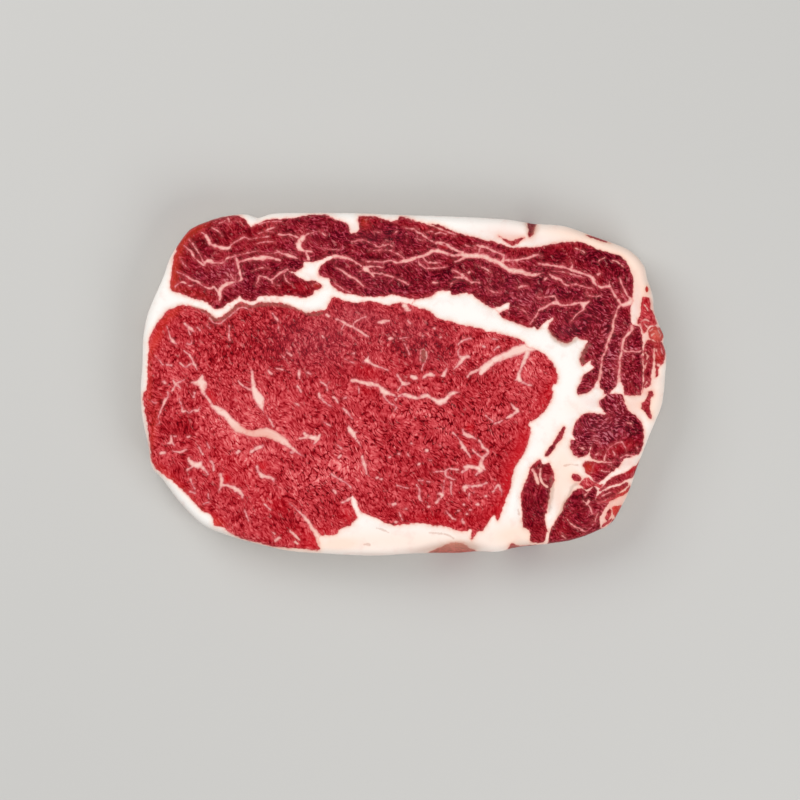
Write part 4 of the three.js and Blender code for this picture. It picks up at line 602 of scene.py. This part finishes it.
# how the drawing is read
pattern = dict(
    reach=4.0, outlineStep=0.7, lineStep=0.6, fleckHalf=0.2,  # mm
    chunk=12,  # steps of a line that are searched at once
    plain=0.5,  # tone and mottle away from every muscle
    swell=(1, 1, 1.2),  # streaks in the eye are drawn a little thin
    waver=((0.3, 0.25, 0), (1.1, 0.16, 5)), seed=7)  # waves in a mm, reach in mm and level of the noise
outlines = {name: smoothLine(m["outline"], True, pattern["outlineStep"]) for name, m in muscles.items()}
flecks = [[(x - pattern["fleckHalf"], y, width), (x + pattern["fleckHalf"], y, width)]
          for x, y, width in eyeFlecks]
streaks, inEye, silver, creaseShades = (
    [smoothLine(line, False, pattern["lineStep"]) for line in drawn]
    for drawn in (capStreaks + rimStreaks, eyeStreaks + flecks, silverLines, creaseShadeLines))
streaks += [line * pattern["swell"] for line in inEye]
print("drawing:", len(outlines), "muscles,", len(streaks), "streaks")


def near(places, line):  # the places within reach of a line's box
    low, high = line[:, :2].min(0) - pattern["reach"], line[:, :2].max(0) + pattern["reach"]
    return np.flatnonzero(((places > low) & (places < high)).all(1))


def lineDistance(places, line):  # nearest distance to a line, and the line's width there
    best = np.full(len(places), pattern["reach"])
    width = np.zeros(len(places))
    for first in range(0, len(line) - 1, pattern["chunk"]):
        piece = line[first:first + pattern["chunk"] + 1]
        here = near(places, piece)
        local = places[here]
        for a, b in zip(piece, piece[1:]):
            along = b[:2] - a[:2]
            share = np.clip((local - a[:2]) @ along / max(along @ along, tiny), 0, 1)
            gap = np.hypot(*(local - a[:2] - share[:, None] * along).T)
            closer = gap < best[here]
            best[here[closer]] = gap[closer]
            if len(a) > 2:
                width[here[closer]] = (a[2] + share * (b[2] - a[2]))[closer]
    return best, width


def lineDepth(places, lines):  # how far inside the nearest line each place is, in mm
    depth = np.full(len(places), -pattern["reach"])
    for line in lines:
        here = near(places, line)
        gap, width = lineDistance(places[here], line)
        depth[here] = np.maximum(depth[here], width / 2 - gap)
    return depth


def isInside(places, outline):
    x, y = places.T
    within = np.zeros(len(places), bool)
    for a, b in zip(outline, np.roll(outline, -1, axis=0)):
        if a[1] != b[1]:
            crosses = (a[1] > y) != (b[1] > y)
            within ^= crosses & (x < a[0] + (y - a[1]) / (b[1] - a[1]) * (b[0] - a[0]))
    return within


noise.seed_set(pattern["seed"])  # without a seed each run would waver differently


def wander(places):  # makes drawn lines waver as fat does
    moved = places
    for rate, reach, layer in pattern["waver"]:
        push = np.array([noise.noise_vector((x * rate, y * rate, layer)) for x, y in places])[:, :2]
        moved = moved + reach * push
    return moved


def meatField(places):  # how deep in fat (+) or lean (-) each place is, in mm, and what is drawn there
    places = wander(places)
    lean = np.full(len(places), -pattern["reach"])
    tone = np.full(len(places), pattern["plain"])
    mottle = np.full(len(places), pattern["plain"])
    for name, outline in outlines.items():
        here = near(places, outline)
        gap, _ = lineDistance(places[here], np.concatenate([outline, outline[:1]]))
        gap = np.where(isInside(places[here], outline), gap, -gap)
        deeper = gap > lean[here]
        lean[here[deeper]] = gap[deeper]
        tone[here[deeper]] = muscles[name]["tone"]
        mottle[here[deeper]] = muscles[name]["mottle"]
    fat = np.maximum(-lean, lineDepth(places, streaks))
    return dict(fat=fat, seam=-lean, tone=tone, mottle=mottle,
                silver=lineDepth(places, silver), crease=lineDepth(places, creaseShades))


def patchField(places, spots):  # how strongly soft patches show at each place
    total = np.zeros(len(places))
    for x, y, halfLength, halfWidth, turn, strength in spots:
        cosine, sine = math.cos(math.radians(turn)), math.sin(math.radians(turn))
        dx, dy = places[:, 0] - x, places[:, 1] - y
        u, v = (dx * cosine + dy * sine) / halfLength, (dy * cosine - dx * sine) / halfWidth
        total += strength * np.exp(-(u * u + v * v))
    return np.clip(total, 0, 1)


def vertexNormals(points, corners):
    a, b, c = (points[corners[:, i]] for i in range(3))
    face = np.cross(b - a, c - a)
    total = np.zeros_like(points)
    for i in range(3):
        np.add.at(total, corners[:, i], face)
    return total / np.maximum(np.linalg.norm(total, axis=1, keepdims=True), tiny)


onFloor = 0.01  # mm; points lower than this lie in the lower face


def refine(points, corners, wanted):  # splits the edges that wanted picks, at points that follow the normals
    edges = np.sort(np.concatenate([corners[:, [0, 1]], corners[:, [1, 2]], corners[:, [2, 0]]]), axis=1)
    edges, ids = np.unique(edges, axis=0, return_inverse=True)
    ids = ids.reshape(3, -1).T
    start, end = points[edges[:, 0]], points[edges[:, 1]]
    split = wanted(start, end)
    normals = vertexNormals(points, corners)
    n0, n1 = normals[edges[:, 0]], normals[edges[:, 1]]
    w0 = ((end - start) * n0).sum(1, keepdims=True)
    w1 = ((start - end) * n1).sum(1, keepdims=True)
    bend = -(w0 * n0 + w1 * n1) / 8  # the middle of a curved edge between the two normals
    both = n0 + n1
    upper = both[:, 2] > 1
    bend[upper, 2] = (bend[upper] * both[upper]).sum(1) / both[upper, 2]
    bend[upper, :2] = 0  # the upper face bends upright only, so that it can't fold
    bend[(start[:, 2] < onFloor) & (end[:, 2] < onFloor)] = 0
    middle = (start + end) / 2 + bend
    middle[:, 2] = np.maximum(middle[:, 2], 0)
    number = np.full(len(edges), -1)
    number[split] = len(points) + np.arange(split.sum())
    mid = number[ids]
    cut = mid >= 0
    parts = [corners[cut.sum(1) == 0]]
    for turn in range(3):
        a, b, c = (corners[:, (turn + i) % 3] for i in range(3))
        ab, bc, ca = (mid[:, (turn + i) % 3] for i in range(3))
        one = (ab >= 0) & (bc < 0) & (ca < 0)
        parts += [np.stack(t, 1)[one] for t in ((a, ab, c), (ab, b, c))]
        two = (ab >= 0) & (bc >= 0) & (ca < 0)
        parts += [np.stack(t, 1)[two] for t in ((ab, b, bc), (a, ab, bc), (a, bc, c))]
        if turn == 0:
            three = cut.all(1)
            parts += [np.stack(t, 1)[three] for t in ((a, ab, ca), (ab, b, bc), (ca, bc, c), (ab, bc, ca))]
    return np.concatenate([points, middle[split]]), np.concatenate(parts)


# the solid's own skin, welded, with an even lower face
steak = dict(
    node="ribeye_steak", weldDigits=3,  # points that agree to so many digits of a mm are one
    underStep=1.5, snap=1e-5, coarse=1.5, fine=0.75, finest=0.4,  # mm
    fineBand=1.0, finestBand=0.42, fineAbove=14, drift=(0.6, -0.4),  # mm
    underClear=0.7, spread=(0.034, 0.05), fade=0.75, sideFrom=0.8, sideFull=0.3)  # shares
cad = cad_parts[steak["node"]].data
cadPoints = np.array([v.co for v in cad.vertices]) / mm
cadCorners = np.array([p.vertices[:] for p in cad.polygons])
welded = np.round(cadPoints, steak["weldDigits"])
_, first, same = np.unique(welded, axis=0, return_index=True, return_inverse=True)
points, corners = cadPoints[first], same.reshape(-1)[cadCorners]
under = (points[corners][:, :, 2] < onFloor).all(1)
underEdges = np.sort(np.concatenate([corners[under][:, [i, (i + 1) % 3]] for i in range(3)]), axis=1)
rimEdges, uses = np.unique(underEdges, axis=0, return_counts=True)
rimEdges = rimEdges[uses == 1]
rimIds = np.unique(rimEdges)
rimOrder = {v: i for i, v in enumerate(rimIds)}
rimLine = points[rimIds][:, :2]
low, high = rimLine.min(0), rimLine.max(0)
rows = np.arange(low[1], high[1], steak["underStep"] * math.sqrt(0.75))  # for even triangles
lattice = np.array([(x + (j % 2) * steak["underStep"] / 2, y)
                    for j, y in enumerate(rows) for x in np.arange(low[0], high[0], steak["underStep"])])
gaps = np.array([np.hypot(*(lattice - p).T) for p in rimLine]).min(0)
lattice = lattice[gaps > steak["underStep"] * steak["underClear"]]
ring = [(rimOrder[a], rimOrder[b]) for a, b in rimEdges]
insideOnly = 1  # what delaunay_2d_cdt gives back
flatPoints, _, flatFaces, origin, _, _ = delaunay_2d_cdt(
    [Vector(p) for p in np.concatenate([rimLine, lattice])], ring, [], insideOnly, steak["snap"])
newIds = []
added = []
for place, made in zip(flatPoints, origin):
    fromRim = [o for o in made if o < len(rimIds)]
    if fromRim:
        newIds.append(rimIds[fromRim[0]])
    else:
        newIds.append(len(points) + len(added))
        added.append((place.x, place.y, 0))
underCorners = np.array([[newIds[i] for i in face] for face in flatFaces])
points = np.concatenate([points, np.array(added)])
a, b, c = (points[underCorners[:, i]] for i in range(3))
upward = np.cross(b - a, c - a)[:, 2] > 0
underCorners[upward] = underCorners[upward][:, ::-1]
corners = np.concatenate([corners[~under], underCorners])
print("skin:", len(points), "points,", len(corners), "triangles")


def patternPlace(places):  # the pattern slants down through the slice, and spreads out to the lower rim
    depth = 1 - np.clip(places[:, 2:] / cadHeight, 0, 1)
    lower = np.clip(2 * depth - 1, 0, 1)
    return places[:, :2] * (1 + lower * np.array(steak["spread"])) + depth * np.array(steak["drift"])


def longEdge(start, end):
    return np.linalg.norm(end - start, axis=1) > steak["coarse"]


def nearLine(limit, band):  # picks the edges longer than a limit that lie by the edge of some fat or line
    def wanted(start, end):
        middle = (start + end) / 2
        split = (np.linalg.norm(end - start, axis=1) > limit) & (middle[:, 2] > steak["fineAbove"])
        drawn = meatField(patternPlace(middle[split]))
        split[split] = np.min([np.abs(drawn[name]) for name in ("fat", "silver", "crease")], axis=0) < band
        return split
    return wanted


points, corners = refine(points, corners, longEdge)
points, corners = refine(points, corners, nearLine(steak["fine"], steak["fineBand"]))
points, corners = refine(points, corners, nearLine(steak["finest"], steak["finestBand"]))
used, corners = np.unique(corners, return_inverse=True)
points, corners = points[used], corners.reshape(-1, 3)
places = patternPlace(points)
field = meatField(places)
level = points[:, 2] / cadHeight
shown = 1 - steak["fade"] * (1 - np.clip(level, 0, 1) ** 2)  # patches fade down the side
field.update({name: patchField(places, spots) * shown for name, spots in patches.items()})
# the lower part of the side wall
field["side"] = np.clip((steak["sideFrom"] - level) / (steak["sideFrom"] - steak["sideFull"]), 0, 1)

mesh = bpy.data.meshes.new("ribeye steak")
mesh.from_pydata((points * mm).tolist(), [], corners.tolist())
for name, values in field.items():
    mesh.attributes.new(name, "FLOAT", "POINT").data.foreach_set("value", values.astype(np.float32))
mesh.shade_smooth()
steakPiece = bpy.data.objects.new("ribeyeSteak", mesh)
bpy.context.collection.objects.link(steakPiece)
print("refined:", len(points), "points,", len(corners), "triangles")


def addNode(tree, kind, sockets={}, out=0, **settings):  # links a socket, sets a value or hex colour
    node = tree.nodes.new(kind)
    for name, value in settings.items():
        if name == "stops":
            elements = node.color_ramp.elements
            while len(elements) < len(value):
                elements.new(0.5)
            for element, (place, colour) in zip(elements, value):
                element.position = place
                element.color = linear(colour)
        else:
            setattr(node, name, value)
    for key, value in sockets.items():
        socket = node.inputs[key]
        if isinstance(value, bpy.types.NodeSocket):
            tree.links.new(value, socket)
        else:
            socket.default_value = linear(value) if socket.type == "RGBA" else value
    return node.outputs[out] if out is not None else None


# raw beef: wet lean, red to purple, its cut fibres showing as fine wavy lines;
# fat pink at its edges, cream white inside
# single fibres are too fine to show, so speckle, worm and crackle are drawn as coarse as small bundles
patterns = {  # turn in degrees, length and width of a cell in mm, octaves, roughness, distortion
    "edge": (0, 1.5, 1.5, 3, 0.55, 0),
    "cloud": (0, 9, 9, 3, 0.55, 0),
    "blotch": (-50, 2.8, 1.9, 3, 0.6, 0.3),
    "hue": (0, 5, 5, 3, 0.6, 0),
    "speckle": (-55, 1.3, 0.55, 1, 0.5, 0),
    "worm": (-20, 1.5, 0.65, 1, 0.5, 0.3),
    "break": (0, 1.6, 1.6, 2, 0.5, 0),
    "fleck": (-52, 2.4, 1.1, 3, 0.6, 0.6),
    "rosy": (0, 4.5, 4.5, 3, 0.6, 0),
    "crackle": (90, 1.3, 0.7, 1, 0.5, 0.8),
}
alongFibres = ("speckle", "worm")  # the patterns that bend with the bundles
# the cut ends of fibre bundles: turn in degrees, sizes in mm, and how far and fast the bundles lean
bundle = dict(turn=-55, length=2.8, width=0.9, leanCell=10, lean=8, wobbleCell=1, wobble=0.8)
weights = dict(cloud=0.35, blotch=0.5, speckle=0.7, shade=0.1)  # how far each pattern moves the lean's tone
shifts = dict(light=0.18, deep=-0.16, ruddy=-0.12)  # how far each kind of patch moves it
tints = dict(dull=("7d3a48", 0.3), blush=("c80c1a", 0.78), orange=("d8402a", 0.6))  # colour and share
ramps = dict(  # the two leans by tone, streaks by their depth in mm, seams by their share of seamReach
    bright=[(0.12, "5e020b"), (0.31, "8b0511"), (0.43, "a61c26"), (0.52, "be353c"), (0.62, "d24b51"),
            (0.72, "e66a6c"), (0.88, "f7a29c")],
    purple=[(0.02, "38010a"), (0.24, "560110"), (0.45, "76061c"), (0.7, "9e283c"), (0.95, "c66e7a")],
    streak=[(0, "b83e4a"), (0.22, "da7c80"), (0.48, "edaca2"), (0.95, "f7d1c6")],
    seam=[(0, "dc8080"), (0.07, "f0b4ab"), (0.17, "f9dbd0"), (0.33, "fbeee5"), (0.66, "fcf7f2")])
beefLook = dict(
    edgeRough=1.2, edgeShift=-0.55, seamReach=3,  # mm
    middleTone=0.54, purpleDrop=0.3,  # the lean's own tone, and how much darker the purple lean is
    crackleFlecks=0.03, crackleMiddle=0.55, crackleDepth=0.9,  # more flecks and contrast in the crackle
    gapDepth=-0.26, wrinkleShadeDepth=-0.3,  # tone of the gaps between bundles, and painted shade of the wrinkles that darkens them more where it is wrinkled
    leastGrain=0.17, mottleGrain=0.56, patchGrain=0.16,  # tone of the pale grain in purple lean
    hueSpread=1.4, ruddyHue=-0.5,  # how far red and purple lean run into each other
    fatHeight=0.7, bumpStrength=0.3, bumpDepth=0.3,  # shares, and the depth in mm
    leanRough=0.34, fatRough=0.42, ior=1.4, specular=0.03)
beef = bpy.data.materials.new("raw beef")
beef.use_nodes = True
tree = beef.node_tree
tree.nodes.clear()
has = {name: addNode(tree, "ShaderNodeAttribute", {}, "Fac", attribute_name=name) for name in field}
place = addNode(tree, "ShaderNodeTexCoord", {}, "Object")
inMm = addNode(tree, "ShaderNodeMapping", {"Vector": place, "Scale": (1 / mm, 1 / mm, 1 / mm)})
bent = inMm
for cell, reach in (("leanCell", "lean"), ("wobbleCell", "wobble")):
    drift = addNode(tree, "ShaderNodeTexNoise", {"Vector": inMm, "Scale": 1 / bundle[cell], "Detail": 1}, 1)
    bent = addNode(tree, "ShaderNodeVectorMath", {0: drift, 1: (bundle[reach], bundle[reach], 0), 2: bent},
                   operation="MULTIPLY_ADD")
ends = addNode(tree, "ShaderNodeMapping", {"Vector": bent, "Rotation": (0, 0, math.radians(bundle["turn"])),
               "Scale": (bundle["length"], bundle["width"], 1)}, vector_type="TEXTURE")
gap = addNode(tree, "ShaderNodeTexVoronoi", {"Vector": ends, "Scale": 1}, "Distance",
              voronoi_dimensions="2D", feature="DISTANCE_TO_EDGE")
grain = {}
for name, (turn, length, width, octaves, roughness, distortion) in patterns.items():
    cell = addNode(tree, "ShaderNodeMapping", {"Vector": bent if name in alongFibres else inMm,
                   "Rotation": (0, 0, math.radians(turn)), "Scale": (length, width, width)},
                   vector_type="TEXTURE")
    grain[name] = addNode(tree, "ShaderNodeTexNoise", {"Vector": cell, "Scale": 1, "Detail": octaves,
                          "Roughness": roughness, "Distortion": distortion})
grain["shade"] = addNode(tree, "ShaderNodeTexVoronoi", {"Vector": ends, "Scale": 1}, "Color",
                         voronoi_dimensions="2D")
ragged = addNode(tree, "ShaderNodeMath", {0: grain["edge"], 1: beefLook["edgeRough"],
                 2: beefLook["edgeShift"]}, operation="MULTIPLY_ADD")
depth = {name: addNode(tree, "ShaderNodeMath", {0: ragged, 1: has[name]}, operation="ADD")
         for name in ("fat", "seam", "silver", "crease")}
flecked = addNode(tree, "ShaderNodeMath", {0: has["crackle"], 1: beefLook["crackleFlecks"],
                  2: grain["fleck"]}, operation="MULTIPLY_ADD")
masks = {  # what each mask reads, and the values where it starts and where it is full
    "fat": (depth["fat"], -0.12, 0.16),
    "seam": (depth["seam"], -0.15, 0.25),
    "silver": (depth["silver"], -0.6, 0.4),
    "crease": (depth["crease"], -0.3, 0.2),
    "halo": (depth["fat"], -0.9, 0),
    "fleck": (flecked, 0.59, 0.72),
    "rosy": (grain["rosy"], 0.5, 0.75),
    "gap": (gap, 0.2, 0.03),
    "break": (grain["break"], 0.4, 0.62),
    "worm": (grain["worm"], 0.43, 0.63),
}
mask = {name: addNode(tree, "ShaderNodeMapRange", {"Value": source, "From Min": start, "From Max": full},
                      interpolation_type="SMOOTHSTEP") for name, (source, start, full) in masks.items()}

tone = beefLook["middleTone"] - sum(weights.values()) / 2
for source, weight in [(grain[n], w) for n, w in weights.items()] + [(has[n], w) for n, w in shifts.items()]:
    tone = addNode(tree, "ShaderNodeMath", {0: source, 1: weight, 2: tone}, operation="MULTIPLY_ADD")
# finer upright crackle where the blade dragged
crackled = addNode(tree, "ShaderNodeMath", {0: grain["crackle"], 1: beefLook["crackleMiddle"]},
                   operation="SUBTRACT")
crackled = addNode(tree, "ShaderNodeMath", {0: crackled, 1: has["crackle"]}, operation="MULTIPLY")
tone = addNode(tree, "ShaderNodeMath", {0: crackled, 1: beefLook["crackleDepth"], 2: tone},
               operation="MULTIPLY_ADD")
# bright lean has dark gaps between its bundles, broken here and there; where the face is wrinkled, painted
# shade darkens them more
broken = addNode(tree, "ShaderNodeMath", {0: mask["gap"], 1: mask["break"]}, operation="MULTIPLY")
gapToneAndWrinkleShade = addNode(tree, "ShaderNodeMath", {0: has["wrinkle"], 1: beefLook["wrinkleShadeDepth"],
                   2: beefLook["gapDepth"]}, operation="MULTIPLY_ADD")
red = addNode(tree, "ShaderNodeMath", {0: broken, 1: gapToneAndWrinkleShade, 2: tone}, operation="MULTIPLY_ADD")
# purple lean is darker, with pale grain
grainy = addNode(tree, "ShaderNodeMath", {0: has["mottle"], 1: beefLook["mottleGrain"],
                 2: beefLook["leastGrain"]}, operation="MULTIPLY_ADD")
grainy = addNode(tree, "ShaderNodeMath", {0: has["grain"], 1: beefLook["patchGrain"], 2: grainy},
                 operation="MULTIPLY_ADD")
darker = addNode(tree, "ShaderNodeMath", {0: tone, 1: beefLook["purpleDrop"]}, operation="SUBTRACT")
maroon = addNode(tree, "ShaderNodeMath", {0: mask["worm"], 1: grainy, 2: darker}, operation="MULTIPLY_ADD")
bright = addNode(tree, "ShaderNodeValToRGB", {"Fac": red}, stops=ramps["bright"])
purple = addNode(tree, "ShaderNodeValToRGB", {"Fac": maroon}, stops=ramps["purple"])
# the two run into each other in patches
hue = addNode(tree, "ShaderNodeMath", {0: grain["hue"], 1: beefLook["hueSpread"],
              2: -beefLook["hueSpread"] / 2}, operation="MULTIPLY_ADD")
hue = addNode(tree, "ShaderNodeMath", {0: hue, 1: has["tone"], 2: has["tone"]}, operation="MULTIPLY_ADD")
hue = addNode(tree, "ShaderNodeMath", {0: has["ruddy"], 1: beefLook["ruddyHue"], 2: hue},
              operation="MULTIPLY_ADD")
lean = addNode(tree, "ShaderNodeMix", {0: hue, 6: bright, 7: purple}, 2, data_type="RGBA")
seamShare = addNode(tree, "ShaderNodeMath", {0: depth["seam"], 1: 1 / beefLook["seamReach"]},
                    operation="MULTIPLY")
streakFat = addNode(tree, "ShaderNodeValToRGB", {"Fac": depth["fat"]}, stops=ramps["streak"])
seamFat = addNode(tree, "ShaderNodeValToRGB", {"Fac": seamShare}, stops=ramps["seam"])
fat = addNode(tree, "ShaderNodeMix", {0: mask["seam"], 6: streakFat, 7: seamFat}, 2, data_type="RGBA")
stain = addNode(tree, "ShaderNodeMath", {0: has["side"], 1: mask["rosy"]}, operation="MULTIPLY")
# what tints the lean and the fat: where, how much and its colour
leanLayers = [(has[name], share, tint) for name, (tint, share) in tints.items()]
leanLayers += [
    (mask["fleck"], 0.45, "dc8280"),
    (mask["halo"], 0.2, "d06a68"),
    (has["tan"], 0.85, "d0937c"),
    (mask["silver"], 0.6, "96584f"),
]
fatLayers = [
    (has["side"], 0.4, "f4dccb"),
    (stain, 0.6, "dfa094"),
    (has["cream"], 0.75, "ffd6be"),
    (mask["rosy"], 0.25, "f3c4ba"),
    (has["pink"], 0.7, "eaa494"),
    (has["tan"], 0.7, "c79a88"),
    (mask["silver"], 0.45, "b08a78"),
    # brown painted shade along the creases and knife marks in the fat
    (mask["crease"], 0.4, "c08a74"),
]
tinted = []
for base, layers in ((lean, leanLayers), (fat, fatLayers)):
    for source, share, tint in layers:
        amount = addNode(tree, "ShaderNodeMath", {0: source, 1: share}, operation="MULTIPLY")
        base = addNode(tree, "ShaderNodeMix", {0: amount, 6: base, 7: tint}, 2, data_type="RGBA")
    tinted.append(base)
colour = addNode(tree, "ShaderNodeMix", {0: mask["fat"], 6: tinted[0], 7: tinted[1]}, 2, data_type="RGBA")
height = addNode(tree, "ShaderNodeMix", {0: mask["fat"], 2: red, 3: beefLook["fatHeight"]})
bump = addNode(tree, "ShaderNodeBump", {"Strength": beefLook["bumpStrength"],
               "Distance": beefLook["bumpDepth"] * mm, "Height": height})
gloss = addNode(tree, "ShaderNodeMapRange", {"Value": mask["fat"], "To Min": beefLook["leanRough"],
                "To Max": beefLook["fatRough"]})
surface = addNode(tree, "ShaderNodeBsdfPrincipled", {"Base Color": colour, "Roughness": gloss, "Normal": bump,
                  "IOR": beefLook["ior"], "Specular IOR Level": beefLook["specular"]})
addNode(tree, "ShaderNodeOutputMaterial", {"Surface": surface}, None)
print("raw beef:", len(tree.nodes), "nodes")

# fine unevenness of the cut face and the rim, streaks of fat standing a little proud
relief = dict(
    lumpSize=5.0 * mm, lumpHeight=0.14 * mm, pitSize=1.2 * mm, pitHeight=0.06 * mm, fatRise=0.1 * mm,
    fatFull=0.5,  # mm of depth in fat at which it has risen
    flatFacing=0.7, steepFacing=0.3,  # upward share of a normal on the face and on the side wall
    flatBelow=2.0 * mm, seed=7.0)
tree = bpy.data.node_groups.new("surface relief", "GeometryNodeTree")
tree.interface.new_socket("Geometry", in_out="INPUT", socket_type="NodeSocketGeometry")
tree.interface.new_socket("Geometry", in_out="OUTPUT", socket_type="NodeSocketGeometry")
inputs = {}
for name in (*relief, "material"):
    kind = "NodeSocketMaterial" if name == "material" else "NodeSocketFloat"
    inputs[name] = tree.interface.new_socket(name, in_out="INPUT", socket_type=kind)
given = {name: addNode(tree, "NodeGroupInput", {}, name) for name in ["Geometry", *inputs]}
place = addNode(tree, "GeometryNodeInputPosition")
fatDepth = addNode(tree, "GeometryNodeInputNamedAttribute", {"Name": "fat"}, data_type="FLOAT")
lift = addNode(tree, "ShaderNodeMapRange", {"Value": fatDepth, "From Max": given["fatFull"],
               "To Max": given["fatRise"]})
for size, rise in (("lumpSize", "lumpHeight"), ("pitSize", "pitHeight")):
    scale = addNode(tree, "ShaderNodeMath", {0: 1, 1: given[size]}, operation="DIVIDE")
    wave = addNode(tree, "ShaderNodeTexNoise", {"Vector": place, "W": given["seed"], "Scale": scale,
                   "Detail": 1}, noise_dimensions="4D")
    centred = addNode(tree, "ShaderNodeMath", {0: wave, 1: 2, 2: -1}, operation="MULTIPLY_ADD")  # -1 to 1
    lift = addNode(tree, "ShaderNodeMath", {0: centred, 1: given[rise], 2: lift}, operation="MULTIPLY_ADD")
above = addNode(tree, "ShaderNodeSeparateXYZ", {"Vector": place}, "Z")
free = addNode(tree, "ShaderNodeMapRange", {"Value": above, "From Max": given["flatBelow"]})
lift = addNode(tree, "ShaderNodeMath", {0: lift, 1: free}, operation="MULTIPLY")
# the shown face is lifted upright, the side wall outwards
outward = addNode(tree, "GeometryNodeInputNormal")
facing = addNode(tree, "ShaderNodeSeparateXYZ", {"Vector": outward}, "Z")
sideways = addNode(tree, "ShaderNodeMapRange", {"Value": facing, "From Min": given["flatFacing"],
                   "From Max": given["steepFacing"]})
share = addNode(tree, "ShaderNodeCombineXYZ", {"X": sideways, "Y": sideways, "Z": 1})
upright = addNode(tree, "ShaderNodeVectorMath", {0: outward, 1: share}, operation="MULTIPLY")
offset = addNode(tree, "ShaderNodeVectorMath", {0: upright, "Scale": lift}, operation="SCALE")
moved = addNode(tree, "GeometryNodeSetPosition", {"Geometry": given["Geometry"], "Offset": offset})
real = addNode(tree, "GeometryNodeRealizeInstances", {"Geometry": moved})
dressed = addNode(tree, "GeometryNodeSetMaterial", {"Geometry": real, "Material": given["material"]})
addNode(tree, "NodeGroupOutput", {"Geometry": dressed}, None)
modifier = steakPiece.modifiers.new("surface relief", "NODES")
modifier.node_group = tree
for name, value in {**relief, "material": beef}.items():
    modifier[inputs[name].identifier] = value
depsgraph = bpy.context.evaluated_depsgraph_get()
plain = bpy.data.meshes.new_from_object(steakPiece.evaluated_get(depsgraph), preserve_all_data_layers=True,
                                        depsgraph=depsgraph)
steakPiece.modifiers.clear()
steakPiece.data = plain
plain.name = "ribeye steak"
print("steak:", len(plain.vertices), "points,", len(plain.polygons), "triangles")

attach(steakPiece, "root")
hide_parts(steak["node"])

# plain pale floor, a hair under the steak
stage = dict(half=2.0, drop=0.2 * mm, colour="c9c8c5", roughness=0.9)  # sizes in m
square = [(-1, -1), (1, -1), (1, 1), (-1, 1)]
floorMesh = bpy.data.meshes.new("floor")
floorMesh.from_pydata([(x * stage["half"], y * stage["half"], 0) for x, y in square], [], [(0, 1, 2, 3)])
floor = bpy.data.objects.new("floor", floorMesh)
bpy.context.collection.objects.link(floor)
floor.location.z = -stage["drop"]
paper = bpy.data.materials.new("pale paper")
paper.use_nodes = True
paper.node_tree.nodes["Principled BSDF"].inputs["Base Color"].default_value = linear(stage["colour"])
paper.node_tree.nodes["Principled BSDF"].inputs["Roughness"].default_value = stage["roughness"]
floorMesh.materials.append(paper)

# soft studio light: a big key from the upper left, a weaker fill from the lower right, and a white room
lamps = dict(  # place and size in m, watts
    key=((-0.55, 0.5, 0.75), 0.7, 4.9),
    fill=((0.5, -0.5, 0.65), 0.6, 3.5))
roomLight = 0.55
for name, (stand, size, power) in lamps.items():
    lamp = bpy.data.lights.new(name, "AREA")
    lamp.size = size
    lamp.energy = power
    lampPiece = bpy.data.objects.new(name, lamp)
    lampPiece.location = stand
    lampPiece.rotation_euler = (-Vector(stand)).to_track_quat("-Z", "Y").to_euler()
    bpy.context.collection.objects.link(lampPiece)
world = bpy.data.worlds.new("studio")
world.use_nodes = True
world.node_tree.nodes["Background"].inputs["Color"].default_value = linear("ffffff")
world.node_tree.nodes["Background"].inputs["Strength"].default_value = roomLight
scene = bpy.context.scene
scene.world = world
scene.view_settings.view_transform = "Standard"

# straight overhead, as the photo is taken
view = dict(centre=(-1.04, -5.55), width=277.4, height=2500.0)  # mm; the width is what shows at mid height
camera = bpy.data.cameras.new("overhead")
camera.lens = camera.sensor_width * view["height"] / view["width"]
cameraPiece = bpy.data.objects.new("overhead", camera)
cameraPiece.location = Vector((*view["centre"], view["height"] + cadHeight / 2)) * mm
bpy.context.collection.objects.link(cameraPiece)
scene.camera = cameraPiece
print("stage: floor,", len(lamps), "lamps and an overhead camera")
